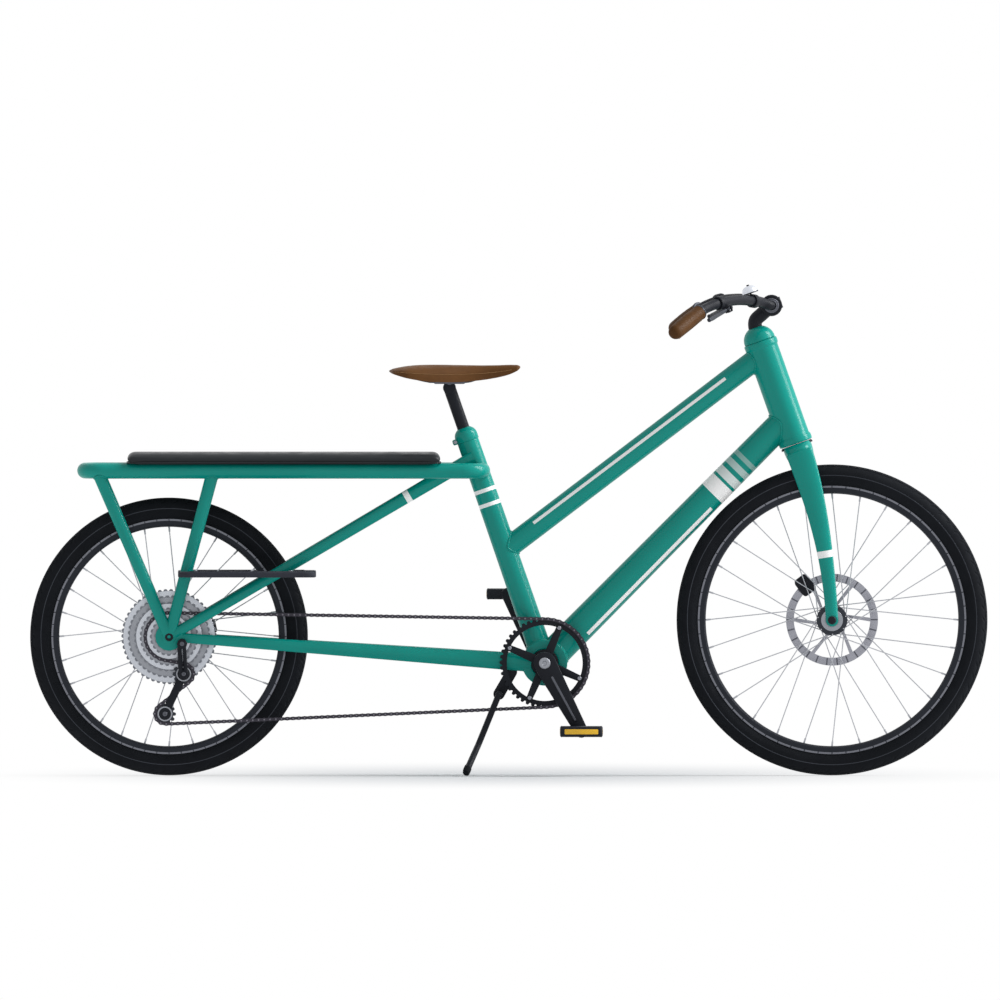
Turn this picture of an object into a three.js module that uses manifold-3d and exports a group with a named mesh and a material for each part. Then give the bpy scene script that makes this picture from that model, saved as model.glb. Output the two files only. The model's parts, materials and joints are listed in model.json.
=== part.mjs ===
// Longtail cargo bicycle: a long rear rack with a cushion and foot boards behind a low frame.
// Millimetres. +X points forward, +Y to the rider's left, +Z up. The tyres stand on Z = 0.
import * as THREE from 'three';
import { mergeVertices } from 'three/addons/utils/BufferGeometryUtils.js';
import Module from 'manifold-3d';

const wasm = await Module();
wasm.setup();

// Driving dimensions: wheels and stance
const rearTyreRadius = 305.5;
const frontTyreRadius = 342;
const frontTyreGap = 10.9577;
const tyreHeight = 51;
const tyreWidth = 50;
const tyreWall = 5;
const rimWall = 1.8;
const rimFlange = 5.5;
const rimHalfWidth = 17;
const rimInset = 13;
const spokeRadius = 1.1;
const rearHubWidth = 142;
const rearFlangeRadius = 29;
const rearFlangeRight = 25;
const rearFlangeLeft = 30;
const rearCoreRadius = 16;
const freehubRadius = 17;
const frontHubWidth = 100;
const frontFlangeRadius = 34;
const frontFlangePlace = 24;
const frontCoreRadius = 15;
const frontCapRadius = 24;
const flangeThickness = 5;
const axleRadius = 6;
const axleHeadHeight = 6;

// Driving dimensions: frame
const bracketReach = 826.4;
const bracketDrop = 57.8;
const bracketRadius = 50;
const bracketWidth = 73;
const seatAngle = 70.9;
const seatTubeLength = 528;
const seatTubeRadius = 24;
const seatTubeFootRadius = 26;
const headAngle = 70.5;
const headTubeLength = 238.9;
const headTubeRadius = 35;
const headTubeEndRadius = 37.5;
const topTubeRise = 263;
const topTubeDrop = 27.4;
const topTubeRadius = 24;
const downTubeRise = 60.2;
const downTubeFootRadius = 34;
const downTubeHeadRadius = 30;
const chainstayFootRadius = 20;
const chainstayTipRadius = 10;
const chainstaySpread = 28;
const seatstayRadius = 14.5;
const seatstayDrop = 50;
const seatstaySpread = 20;
const strutRadius = 14;
const dropoutRadius = 30;
const dropoutThickness = 9;
const hangerRadius = 11;
const hangerReach = 28.6;
const hangerDrop = 15;
const tubeWall = 3;
const headRingHeight = 15;

// Driving dimensions: rack, cushion and foot boards
const railDrop = 80.57;
const railRadius = 17;
const railSpread = 70;
const railRearReach = 185;
const railBendRadius = 42;
const frontStrutReach = 97.6;
const rearStrutReach = -157.4;
const deckThickness = 4;
const deckWidth = 164;
const cushionLength = 694;
const cushionFrontReach = 599.6;
const cushionHeight = 33;
const cushionWidth = 202;
const cushionWall = 12;
const cushionCrown = 4;
const cushionWaist = 3;
const cushionRise = 39;
const footBoardHeight = 443.7;
const footBoardThickness = 13;
const footBoardRear = 19.6;
const footBoardLength = 304;
const footBoardInner = 62;
const footBoardWidth = 104;

// Driving dimensions: steering
const forkTyreGap = 49.8;
const forkOffset = -55.2;
const forkCrownWidth = 94;
const forkTipSpread = 56.5;
const forkLegWidth = 12;
const forkLegDepth = 60;
const forkCrownHeight = 36;
const raceHeight = 4;
const steererRadius = 20;
const stemRadius = 15;
const stemRise = 304.8;
const stemReach = 50.2;
const stemElbow = 281.7;
const stemClampRadius = 23.5;
const stemClampWidth = 44;
const stemInsert = 70;
const barBulge = 1.6;
const barBack = 223;
const barRise = 45.6;
const barHalfWidth = 323;
const barRadius = 11.1;
const gripRadius = 17.5;
const gripLength = 104;
const headDomeRadius = 35;
const leverDrop = 18;
const leverShift = 6;
const leverHingeRadius = 3;
const leverThickness = 6;
const leverEyeRadius = 7.5;
const leverReach = [-44, 92, -10];
const mountBandWidth = 18;
const mountBandWall = 4;
const mountEarRadius = 8;
const mountEarHeight = 16;
const mountPinHeight = 15;

// Driving dimensions: seat
const seatPostRadius = 13.6;
const seatPostInsert = 120;
const seatPostRise = 112;
const saddleLength = 289;
const saddleSetback = 133;
const saddleRise = 51.53;
const saddleRearWidth = 152;
const saddleNoseWidth = 34;
const saddleDepth = 38;
const saddleRailSpacing = 44;
const saddleRailRadius = 3.5;
const saddleClampLength = 70;
const saddleClampHeight = 11;
const saddleClampBar = 5;
const saddleBridgeReach = 26;
const saddleBridgeLength = 12;

// Driving dimensions: drive train
const chainPitch = 12.7;
const chainringTeeth = 48;
const pulleyTeeth = 11;
const sprocketTeeth = [51, 44, 37, 31, 26, 20, 15, 11];
const chainSprocketTeeth = 26;
const sprocketSpacing = 4.8;
const chainLine = 50;
const chainHalfWidth = 3.4;
const crankLength = 170;
const crankAngle = -61.6;
const crankInner = 73;
const crankThickness = 14;
const spindleRadius = 12;
const pedalLength = 95;
const pedalHeight = 24;
const pedalWidth = 92;
const pedalAxleRadius = 4.5;
const guideOffset = [32.2, -81.8];
const cageLength = 97;
const cagePlate = 1.5;
const cageHalfWidth = 5.6;
const cageEndRadius = 15;
const knuckleRadius = 11;
const pulleyThickness = 2.6;
const pulleyBolt = 3;
const toothRise = 3.2;
const toothRoot = 4.6;
const sprocketThickness = 1.8;
const sleeveWall = 2.4;
const cassetteStart = 29.2;
const chainringThickness = 2.6;
const chainringInner = 84;
const linkHalfHeight = 4.2;
const crankHubRadius = 25;
const crankTipRadius = 14.5;
const grooveRadius = 4;
const grooveDepth = 2;
const spiderRadius = 83;
const spiderWidth = 14;
const spiderThickness = 5;
const pedalGap = 3;

// Driving dimensions: brakes, stand and bell
const rearRotorRadius = 90;
const frontRotorRadius = 101.5;
const rotorThickness = 2;
const rotorRing = 18;
const rotorBossRadius = 21;
const rearRotorPlace = 57;
const frontRotorPlace = 37;
const caliperLength = 34;
const caliperDepth = 44;
const rearCaliperInward = 10;
const rearCaliperOutward = 14;
const frontCaliperInward = 9;
const frontCaliperOutward = 20;
const standPivotReach = -100.4;
const standPivotDrop = 68.7;
const standFootReach = -72.6;
const standLegRadius = 6.5;
const standHipSpread = 62;
const standKneeSpread = 62;
const standFootSpread = 135;
const standPivotRadius = 7.5;
const standCheekWall = 5;
const standHeadRadius = 12;
const standCheekReach = 4;
const bellRadius = 17.3;
const bellBand = 4;
const bellWall = 1.5;
const bellPinRadius = 1.5;
const bellLugThickness = 3;

// Clearances and facet counts
const seatGap = 0.3;
const runGap = 0.5;
const weld = 1e-3;
const overrun = 40;
const tubeSides = 12;
const roundSides = 16;
const barSides = 8;
const wheelSides = 32;
const smallSides = 10;
const spokeCount = 28;
const spokeLean = 62;
const rearCaliperAngle = 13;
const frontCaliperAngle = 128;
const spiderAngles = [67.4, 156.9, 246.7, 336.2];

// Shares of a piece's own sizes
const bracketHollowShare = 0.62;
const chainstayWidthShare = 0.55;
const stayWidthShare = 0.78;
const strutTaperShare = 0.9;
const innerLinkShare = 0.76;

const deg = THREE.MathUtils.degToRad;
const point = (x, y, z) => new THREE.Vector3(x, y, z);
const mirrored = (p) => point(p.x, -p.y, p.z);
const sides = { right: -1, left: 1 };

// Main places of the frame in its middle plane
const seatUp = point(-Math.cos(deg(seatAngle)), 0, Math.sin(deg(seatAngle)));
const headUp = point(-Math.cos(deg(headAngle)), 0, Math.sin(deg(headAngle)));
const headAhead = point(headUp.z, 0, -headUp.x);
const forkLength = frontTyreRadius + forkTyreGap;
const wheelBase = bracketReach + frontReach();
const overallLength = rearTyreRadius + wheelBase + frontTyreRadius;
const rearAxle = point(rearTyreRadius - overallLength / 2, 0, rearTyreRadius);
const frontAxle = point(rearAxle.x + wheelBase, 0, frontTyreRadius);
const bracket = point(rearAxle.x + bracketReach, 0, rearAxle.z - bracketDrop);
const headFoot = frontAxle.clone()
  .addScaledVector(headAhead, -forkOffset)
  .addScaledVector(headUp, forkLength);
const onSeatTube = (rise) => bracket.clone().addScaledVector(seatUp, rise);
const onHeadTube = (rise) => headFoot.clone().addScaledVector(headUp, rise);
const railHeight = onSeatTube(seatTubeLength - railDrop).z;

// How far ahead of the bottom bracket the front axle lies, so that its tyre clears the down tube by its gap.
// The tube ends at [reach + shift, top] and the axle lies at [reach, height], both from the bracket
function frontReach() {
  const height = frontTyreRadius - (rearTyreRadius - bracketDrop);
  const shift = -forkOffset * headAhead.x + (forkLength + downTubeRise) * headUp.x;
  const top = height - forkOffset * headAhead.z + (forkLength + downTubeRise) * headUp.z;
  const clear = frontTyreRadius + frontTyreGap + downTubeHeadRadius;
  const [slope, base] = [top - height, -height * shift];
  const a = slope ** 2 - clear ** 2;
  const b = slope * base - clear ** 2 * shift;
  const c = base ** 2 - clear ** 2 * (shift ** 2 + top ** 2);
  return (-b + Math.sqrt(b ** 2 - a * c)) / a;
}

// Turns a geometry into a closed mesh that shares its vertices and faces outwards
function closed(geometry) {
  const bare = new THREE.BufferGeometry();
  bare.setAttribute('position', geometry.getAttribute('position').clone());
  if (geometry.index) bare.setIndex(geometry.index.clone());
  const merged = mergeVertices(bare, weld);
  const index = merged.index.array;
  const faces = [];
  for (let i = 0; i < index.length; i += 3) {
    const [a, b, c] = [index[i], index[i + 1], index[i + 2]];
    if (a !== b && b !== c && c !== a) faces.push([a, b, c]);
  }
  const at = (k) => new THREE.Vector3().fromBufferAttribute(merged.getAttribute('position'), k);
  const volume = faces.reduce((sum, [a, b, c]) => sum + at(a).dot(at(b).cross(at(c))), 0);
  merged.setIndex(faces.flatMap(([a, b, c]) => (volume < 0 ? [a, c, b] : [a, b, c])));
  return merged;
}

function toSolid(geometry) {
  const mesh = closed(geometry);
  return new wasm.Manifold(new wasm.Mesh({
    numProp: 3,
    vertProperties: new Float32Array(mesh.getAttribute('position').array),
    triVerts: new Uint32Array(mesh.index.array),
  }));
}

function fromSolid(solid) {
  const mesh = solid.getMesh();
  const geometry = new THREE.BufferGeometry();
  geometry.setAttribute('position', new THREE.BufferAttribute(mesh.vertProperties, mesh.numProp));
  geometry.setIndex(new THREE.BufferAttribute(mesh.triVerts, 1));
  return geometry;
}

const join = (...shapes) => fromSolid(shapes.map(toSolid).reduce((whole, next) => whole.add(next)));
const cut = (shape, ...tools) => fromSolid(
  tools.map(toSolid).reduce((rest, tool) => rest.subtract(tool), toSolid(shape)));

// A profile of [radius, place along the axis] pairs turned about the Y axis
function turned(profile, count = roundSides) {
  const points = profile.map(([r, along]) => new THREE.Vector2(r, along));
  const openEnds = profile[0][0] > 0;
  if (openEnds) points.push(points[0].clone());
  return new THREE.LatheGeometry(points, count);
}

const upright = (geometry) => geometry.rotateX(Math.PI / 2);
const moved = (geometry, p) => geometry.translate(p.x, p.y, p.z);

// A round bar across the bicycle, from one Y to another
function crossBar(centre, radius, yFrom, yTo, count = roundSides) {
  const bar = new THREE.CylinderGeometry(radius, radius, Math.abs(yTo - yFrom), count);
  return moved(bar, point(centre.x, (yFrom + yTo) / 2, centre.z));
}

// A straight tube between two points, whose radius tapers and whose width is a share of its depth
function straightTube(from, to, fromRadius, toRadius, options = {}) {
  const { widthShare = 1, grow = 0, count = tubeSides } = options;
  const run = to.clone().sub(from);
  const tube = new THREE.CylinderGeometry(toRadius, fromRadius, run.length(), count);
  const along = run.clone().normalize();
  const across = new THREE.Vector3(0, 1, 0).addScaledVector(along, -along.y).normalize();
  const ahead = new THREE.Vector3().crossVectors(along, across);
  const widest = Math.max(fromRadius, toRadius);
  const depthScale = (widest + grow) / widest;
  const widthScale = (widest * widthShare + grow) / widest;
  tube.scale(depthScale, 1, widthScale);
  tube.applyMatrix4(new THREE.Matrix4().makeBasis(ahead, along, across));
  return moved(tube, from.clone().add(to).multiplyScalar(1 / 2));
}

// A route whose stations are exactly the given points
class StationRoute extends THREE.Curve {
  constructor(stations) {
    super();
    this.stations = stations;
  }

  getPointAt(u, target = new THREE.Vector3()) {
    return target.copy(this.stations[Math.round(u * (this.stations.length - 1))]);
  }

  getTangentAt(u, target = new THREE.Vector3()) {
    const last = this.stations.length - 1;
    const here = Math.round(u * last);
    const before = this.stations[Math.max(here - 1, 0)];
    const after = this.stations[Math.min(here + 1, last)];
    const back = this.stations[here].clone().sub(before).normalize();
    const forth = after.clone().sub(this.stations[here]).normalize();
    return target.copy(back).add(forth).normalize();
  }
}

function circleShape(radius, count = tubeSides) {
  const shape = new THREE.Shape();
  for (let i = 0; i < count; i += 1) {
    const angle = (i / count) * 2 * Math.PI;
    const [x, y] = [radius * Math.cos(angle), radius * Math.sin(angle)];
    if (i === 0) shape.moveTo(x, y);
    else shape.lineTo(x, y);
  }
  shape.closePath();
  return shape;
}

function routedTube(stations, shape) {
  const route = new StationRoute(stations);
  const steps = stations.length - 1;
  return new THREE.ExtrudeGeometry(shape, { steps, bevelEnabled: false, extrudePath: route, curveSegments: 1 });
}

// Points on an arc between two directions, given by its centre and two unit axes
function arcPoints(centre, axisA, axisB, radius, startAngle, endAngle, steps) {
  return Array.from({ length: steps + 1 }, (_, i) => {
    const angle = startAngle + ((endAngle - startAngle) * i) / steps;
    return centre.clone()
      .addScaledVector(axisA, radius * Math.cos(angle))
      .addScaledVector(axisB, radius * Math.sin(angle));
  });
}

// An outline in the side view, in X and Z, given its width across the bicycle
function sidePlate(shape, yFrom, yTo, curveSegments = 8) {
  const depth = Math.abs(yTo - yFrom);
  const plate = new THREE.ExtrudeGeometry(shape, { depth, bevelEnabled: false, curveSegments });
  return upright(plate).translate(0, Math.max(yFrom, yTo), 0);
}

// A closed skin over rings of points, with its two end rings filled
function loft(givenRings, flatten) {
  const turnedBack = THREE.ShapeUtils.isClockWise(givenRings[0].map(flatten));
  const rings = turnedBack ? givenRings.map((ring) => ring.toReversed()) : givenRings;
  const count = rings[0].length;
  const positions = rings.flat().flatMap((p) => [p.x, p.y, p.z]);
  const faces = [];
  for (let r = 0; r < rings.length - 1; r += 1) {
    for (let i = 0; i < count; i += 1) {
      const [a, b] = [r * count + i, r * count + ((i + 1) % count)];
      faces.push(a, b, a + count, b, b + count, a + count);
    }
  }
  const lastRing = (rings.length - 1) * count;
  const capOf = (ring) => THREE.ShapeUtils.triangulateShape(ring.map(flatten), []);
  capOf(rings[0]).forEach(([a, b, c]) => faces.push(a, c, b));
  capOf(rings.at(-1)).forEach(([a, b, c]) => faces.push(lastRing + a, lastRing + b, lastRing + c));
  const geometry = new THREE.BufferGeometry();
  geometry.setAttribute('position', new THREE.Float32BufferAttribute(positions, 3));
  geometry.setIndex(faces);
  return geometry;
}

// Two circles of unlike radius wrapped by one outline, as a crank arm or a cage plate
function linkShape(from, fromRadius, to, toRadius, count = 8) {
  const [dx, dz] = [to[0] - from[0], to[1] - from[1]];
  const heading = Math.atan2(dz, dx);
  const lean = Math.acos((fromRadius - toRadius) / Math.hypot(dx, dz));
  const arc = (centre, radius, start, sweep) => Array.from({ length: count + 1 }, (_, i) => {
    const angle = heading + start + (sweep * i) / count;
    return new THREE.Vector2(centre[0] + radius * Math.cos(angle), centre[1] + radius * Math.sin(angle));
  });
  return new THREE.Shape([
    ...arc(from, fromRadius, lean, 2 * (Math.PI - lean)),
    ...arc(to, toRadius, -lean, 2 * lean),
  ]);
}

// Finishes
const finishes = {
  teal: { color: 0x12887c, roughness: 0.35, metalness: 0.1 },
  black: { color: 0x25272d, roughness: 0.5, metalness: 0.2 },
  darkGrey: { color: 0x383a42, roughness: 0.6, metalness: 0.1 },
  tyre: { color: 0x1d1f22, roughness: 0.85, metalness: 0 },
  rim: { color: 0x282b32, roughness: 0.45, metalness: 0.4 },
  silver: { color: 0xc5c9d1, roughness: 0.35, metalness: 0.8 },
  steel: { color: 0xa5a6af, roughness: 0.4, metalness: 0.8 },
  chain: { color: 0x403e46, roughness: 0.45, metalness: 0.7 },
  leather: { color: 0x6b4a2d, roughness: 0.6, metalness: 0 },
  vinyl: { color: 0x23252a, roughness: 0.65, metalness: 0 },
};

const bicycle = new THREE.Group();
const steering = new THREE.Group();
steering.position.copy(headFoot);
steering.rotation.y = deg(headAngle) - Math.PI / 2;
bicycle.add(steering);

function addPiece(group, name, geometry, finish) {
  const mesh = new THREE.Mesh(closed(geometry), new THREE.MeshStandardMaterial(finishes[finish]));
  mesh.name = name;
  group.add(mesh);
  return mesh;
}

// A tree of groups: each wheel, the cranks and the seat have their own place
function placedGroup(parent, place, turn = 0) {
  const group = new THREE.Group();
  group.position.copy(place);
  group.rotation.y = turn;
  parent.add(group);
  return group;
}

// Frame tubes
const seatTubeEnd = seatTubeLength - seatTubeRadius / 2;
const seatTubeSolid = (grow = 0) => straightTube(
  bracket, onSeatTube(seatTubeEnd), seatTubeFootRadius, seatTubeRadius, { grow });
const bracketSolid = (grow = 0) => crossBar(
  bracket, bracketRadius + grow, -overrun - bracketWidth, overrun + bracketWidth);
const headBar = (from, to, radius) => straightTube(
  onHeadTube(from), onHeadTube(to), radius, radius, { count: roundSides });
const headTubeSpace = (grow) => join(
  headBar(-overrun, headTubeLength + overrun, headTubeRadius + grow),
  headBar(-overrun, headRingHeight + grow, headTubeEndRadius + grow),
  headBar(headTubeLength - headRingHeight - grow, headTubeLength + overrun, headTubeEndRadius + grow));
const topTubeStart = onSeatTube(topTubeRise);
const topTubeEnd = onHeadTube(headTubeLength - topTubeDrop);
const topTubeSolid = (grow = 0) => straightTube(topTubeStart, topTubeEnd, topTubeRadius, topTubeRadius, { grow });
const downTubeEnd = onHeadTube(downTubeRise);
const downTubeSolid = (grow = 0) => straightTube(
  bracket, downTubeEnd, downTubeFootRadius, downTubeHeadRadius, { grow });

// The bottom bracket shell, bored for its bearing cups, with the bearings' seats at its ends
function bracketShell() {
  const half = bracketWidth / 2;
  const chamfer = bracketRadius / 20;
  const seat = spindleRadius + runGap;
  const hollow = bracketRadius * bracketHollowShare;
  const lip = bracketWidth / 6;
  const profile = [
    [seat, -half], [bracketRadius - chamfer, -half], [bracketRadius, chamfer - half],
    [bracketRadius, half - chamfer], [bracketRadius - chamfer, half], [seat, half],
    [seat, half - lip], [hollow, half - lip], [hollow, lip - half], [seat, lip - half],
  ];
  return moved(turned(profile, roundSides), bracket);
}

// The seat tube: a tapered tube whose top third is sleeved down to the seat post
function seatTube() {
  const bore = straightTube(bracket, onSeatTube(seatTubeEnd - seatPostInsert),
    seatTubeFootRadius - tubeWall, seatTubeRadius - tubeWall);
  const sleeve = straightTube(bracket, onSeatTube(seatTubeEnd + overrun),
    seatPostRadius + seatGap, seatPostRadius + seatGap);
  return cut(seatTubeSolid(), bracketSolid(seatGap), bore, sleeve);
}

// The profile of a dome over a bore: [radius, height] pairs from its foot to the bore
function domeProfile(radius, bore, foot, steps) {
  return arcPoints(point(0, foot, 0), point(1, 0, 0), point(0, 1, 0), radius, 0, Math.PI / 2, steps)
    .map((p) => [p.x, p.y])
    .filter(([r]) => r > bore + seatGap);
}

// The clamp on the seat tube: a domed collar with a split lug
function seatClamp() {
  const slot = seatTubeRadius / 8;
  const skirt = seatTubeEnd + seatGap;
  const collar = seatTubeRadius + slot / 2;
  const bore = seatPostRadius + seatGap;
  const dome = domeProfile(collar, bore, seatTubeLength, 5);
  const top = Math.sqrt(collar ** 2 - bore ** 2) + seatTubeLength;
  const profile = [[bore, skirt], [collar, skirt], ...dome, [bore, top]];
  const ring = turned(profile, tubeSides);
  const boltReach = collar + seatTubeRadius / 4;
  const lug = new THREE.BoxGeometry(boltReach, seatTubeRadius / 2, collar);
  lug.translate(-boltReach / 2, skirt + seatTubeRadius / 4, 0);
  const split = new THREE.BoxGeometry(overrun, overrun * 2, slot);
  split.translate(-overrun / 2 - bore / 2, seatTubeLength, 0);
  const core = new THREE.CylinderGeometry(bore, bore, overrun * 2, tubeSides).translate(0, seatTubeLength, 0);
  const clamp = cut(join(ring, lug), core, split);
  return moved(clamp.rotateX(Math.PI / 2).rotateY(deg(seatAngle) - Math.PI / 2), bracket);
}

// The head tube, flared at its ends over the two bearing seats
function headTube() {
  const bore = steererRadius + runGap;
  const flare = headTubeEndRadius - headTubeRadius;
  const hollow = headTubeRadius - tubeWall;
  const upper = headTubeLength - headRingHeight;
  const profile = [
    [bore, 0], [headTubeEndRadius - flare, 0], [headTubeEndRadius, flare],
    [headTubeEndRadius, headRingHeight - flare], [headTubeRadius, headRingHeight], [headTubeRadius, upper],
    [headTubeEndRadius, upper + flare], [headTubeEndRadius, headTubeLength],
    [bore, headTubeLength], [bore, upper],
    [hollow, upper - flare], [hollow, headRingHeight + flare], [bore, headRingHeight],
  ];
  return upright(turned(profile, roundSides));
}

// The upper bearing cover, a dome with the stem's bore
function headsetUpper() {
  const bore = stemRadius + seatGap;
  const base = headTubeLength + seatGap;
  const dome = domeProfile(headDomeRadius, bore, base, 6);
  const top = base + Math.sqrt(headDomeRadius ** 2 - bore ** 2);
  return upright(turned([[bore, base], ...dome, [bore, top]], roundSides));
}

// Stays, struts and dropouts. Each side is built once, for the side's sign
const dropoutInner = rearHubWidth / 2 + seatGap;
const dropoutMiddle = dropoutInner + dropoutThickness / 2;
const seatstayHead = onSeatTube(seatTubeLength - seatstayDrop);
const chainstayHead = (side) => point(bracket.x - bracketRadius * 0.6, side * chainstaySpread, bracket.z);
const dropoutEnd = (side) => point(rearAxle.x, side * dropoutMiddle, rearAxle.z);
const railBelow = (reach, side) => point(rearAxle.x + reach, side * railSpread, railHeight);

function chainstayTube(side, grow = 0) {
  return straightTube(dropoutEnd(side), chainstayHead(side), chainstayTipRadius, chainstayFootRadius,
    { widthShare: chainstayWidthShare, grow });
}

function seatstayTube(side, grow = 0) {
  const head = point(seatstayHead.x, side * seatstaySpread, seatstayHead.z);
  return straightTube(dropoutEnd(side), head, seatstayRadius * stayWidthShare, seatstayRadius,
    { widthShare: stayWidthShare, grow });
}

function strutTube(reach, side, grow = 0) {
  return straightTube(dropoutEnd(side), railBelow(reach, side), strutRadius * strutTaperShare, strutRadius,
    { widthShare: stayWidthShare, grow });
}

function dropoutDisc(side, grow = 0) {
  const [inner, outer] = [dropoutInner - grow, dropoutInner + dropoutThickness + grow];
  return crossBar(rearAxle, dropoutRadius + grow, side * inner, side * outer);
}

const axleHole = (side) => crossBar(rearAxle, axleRadius + seatGap,
  side * (dropoutInner - overrun), side * (dropoutInner + overrun), tubeSides);
const hubSpace = (side) => crossBar(rearAxle, dropoutRadius * 2, 0, side * dropoutInner);
const headSpace = (side) => crossBar(rearAxle, dropoutRadius * 2,
  side * (dropoutInner + dropoutThickness), side * (dropoutInner + dropoutThickness + overrun));

// The hanger below the right dropout, where the derailleur is bolted
const hangerBolt = point(rearAxle.x + hangerReach, 0, rearAxle.z - hangerDrop);

function chainstay(side) {
  const pieces = [chainstayTube(side), dropoutDisc(side)];
  if (side === sides.right) {
    const plate = linkShape([rearAxle.x, rearAxle.z], dropoutRadius / 2, [hangerBolt.x, hangerBolt.z], hangerRadius);
    pieces.push(sidePlate(plate, side * dropoutInner, side * (dropoutInner + dropoutThickness)));
  }
  return cut(join(...pieces), bracketSolid(seatGap), axleHole(side), hubSpace(side), headSpace(side));
}

const dropoutClearance = (side) => crossBar(
  rearAxle, dropoutRadius + seatGap, side * (dropoutInner - overrun), side * (dropoutInner + overrun));

function seatstay(side) {
  return cut(seatstayTube(side), seatTubeSolid(seatGap), dropoutClearance(side), chainstayTube(side, seatGap));
}

function frontStrut(side) {
  return cut(strutTube(frontStrutReach, side), dropoutClearance(side), chainstayTube(side, seatGap),
    seatstayTube(side, seatGap), railTube(side, seatGap));
}

function rearStrut(side) {
  return cut(strutTube(rearStrutReach, side), dropoutClearance(side),
    strutTube(frontStrutReach, side, seatGap), railTube(side, seatGap));
}

// Rack rails: one bent tube a side, from the middle of the rear loop round to the seat tube
const railRear = rearAxle.x - railRearReach;
const railFront = bracket.x + (railHeight - bracket.z) * (seatUp.x / seatUp.z) + seatTubeRadius * 0.4;

function railTube(side, grow = 0) {
  const [ahead, across] = [point(1, 0, 0), point(0, side, 0)];
  const bendY = side * (railSpread - railBendRadius);
  const rearCentre = point(railRear + railBendRadius, bendY, railHeight);
  const frontCentre = point(railFront - railBendRadius, bendY, railHeight);
  const stations = [
    point(railRear, side * (seatGap / 2 - grow), railHeight),
    ...arcPoints(rearCentre, ahead, across, railBendRadius, Math.PI, Math.PI / 2, 5),
    ...arcPoints(frontCentre, ahead, across, railBendRadius, Math.PI / 2, 0, 5),
    point(railFront, side * seatGap, railHeight),
  ];
  return routedTube(stations, circleShape(railRadius + grow, tubeSides));
}

const rackRail = (side) => cut(railTube(side), seatTubeSolid(seatGap));

// The deck board that lies on both rails under the cushion
const cushionRear = rearAxle.x - (cushionLength - cushionFrontReach);
const cushionFront = rearAxle.x + cushionFrontReach;
const deckBottom = railHeight + railRadius + seatGap;

function rackDeck() {
  const inset = cushionWall;
  const half = deckWidth / 2;
  const shape = roundedRectangle(cushionRear + inset, -half, cushionFront - inset, half, inset);
  return new THREE.ExtrudeGeometry(shape, { depth: deckThickness, bevelEnabled: false, curveSegments: 3 })
    .translate(0, 0, deckBottom);
}

function roundedRectangle(x0, y0, x1, y1, radius) {
  const shape = new THREE.Shape();
  shape.moveTo(x0 + radius, y0);
  shape.lineTo(x1 - radius, y0);
  shape.absarc(x1 - radius, y0 + radius, radius, -Math.PI / 2, 0, false);
  shape.lineTo(x1, y1 - radius);
  shape.absarc(x1 - radius, y1 - radius, radius, 0, Math.PI / 2, false);
  shape.lineTo(x0 + radius, y1);
  shape.absarc(x0 + radius, y1 - radius, radius, Math.PI / 2, Math.PI, false);
  shape.lineTo(x0, y0 + radius);
  shape.absarc(x0 + radius, y0 + radius, radius, Math.PI, Math.PI * 1.5, false);
  return shape;
}

// The cushion: crowned across and along, its sides drawn in, its skirts hanging outside the rails
const cushionTop = railHeight + cushionRise;

function cushionSection(x) {
  const ceiling = deckBottom + deckThickness + seatGap;
  const fromEnd = Math.min(x - cushionRear, cushionFront - x);
  const round = cushionHeight / 2;
  const closeness = Math.max(0, 1 - fromEnd / round);
  const lift = round * (1 - Math.sqrt(1 - closeness ** 2));
  const middle = Math.sin((Math.PI * (x - cushionRear)) / cushionLength);
  const halfWidth = cushionWidth / 2 - lift * 0.5 - cushionWaist * middle;
  const top = cushionTop - cushionCrown - lift * 0.5;
  const bottom = cushionTop - cushionHeight + lift * 0.5;
  const inner = deckWidth / 2 + seatGap + railRadius / 3;
  const outline = [];
  const crownSteps = 8;
  const shoulder = (top - bottom) * 0.4;
  const side = bottom + shoulder * 0.6;
  outline.push([-inner, bottom], [cushionWall / 4 - halfWidth, bottom], [-halfWidth, side]);
  for (let i = 0; i <= crownSteps; i += 1) {
    const angle = Math.PI * (1 - i / crownSteps);
    const reach = Math.sign(Math.cos(angle)) * Math.abs(Math.cos(angle)) ** 0.35 * halfWidth;
    const rise = Math.sin(angle) ** 0.8;
    const wall = (top - bottom - shoulder) * rise ** 0.6;
    outline.push([reach, bottom + shoulder + wall + cushionCrown * rise ** 2 * (1 - closeness)]);
  }
  outline.push([halfWidth, side], [halfWidth - cushionWall / 4, bottom], [inner, bottom]);
  outline.push([inner, ceiling], [-inner, ceiling]);
  return outline.map(([y, z]) => point(x, y, z));
}

function cushion() {
  const endShares = [0, 0.2, 0.6, 1];
  const ends = endShares.map((share) => share * (cushionHeight / 2));
  const bodyShares = [0.15, 0.3, 0.5, 0.7, 0.85];
  const stations = [
    ...ends.map((d) => cushionRear + d),
    ...bodyShares.map((share) => cushionRear + share * cushionLength),
    ...ends.toReversed().map((d) => cushionFront - d),
  ];
  return loft(stations.map(cushionSection), (p) => new THREE.Vector2(p.y, p.z));
}

// Foot boards: a shelf a side, notched round the strut and the seatstay that carry it
function footBoard(side) {
  const rear = rearAxle.x + footBoardRear;
  const edges = [side * footBoardInner, side * (footBoardInner + footBoardWidth)].toSorted((a, b) => a - b);
  const shape = roundedRectangle(rear, edges[0], rear + footBoardLength, edges[1], footBoardThickness * 2);
  const board = new THREE.ExtrudeGeometry(shape, { depth: footBoardThickness, bevelEnabled: false, curveSegments: 4 });
  board.translate(0, 0, footBoardHeight - footBoardThickness / 2);
  return cut(board, strutTube(frontStrutReach, side, seatGap), seatstayTube(side, seatGap));
}

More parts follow.
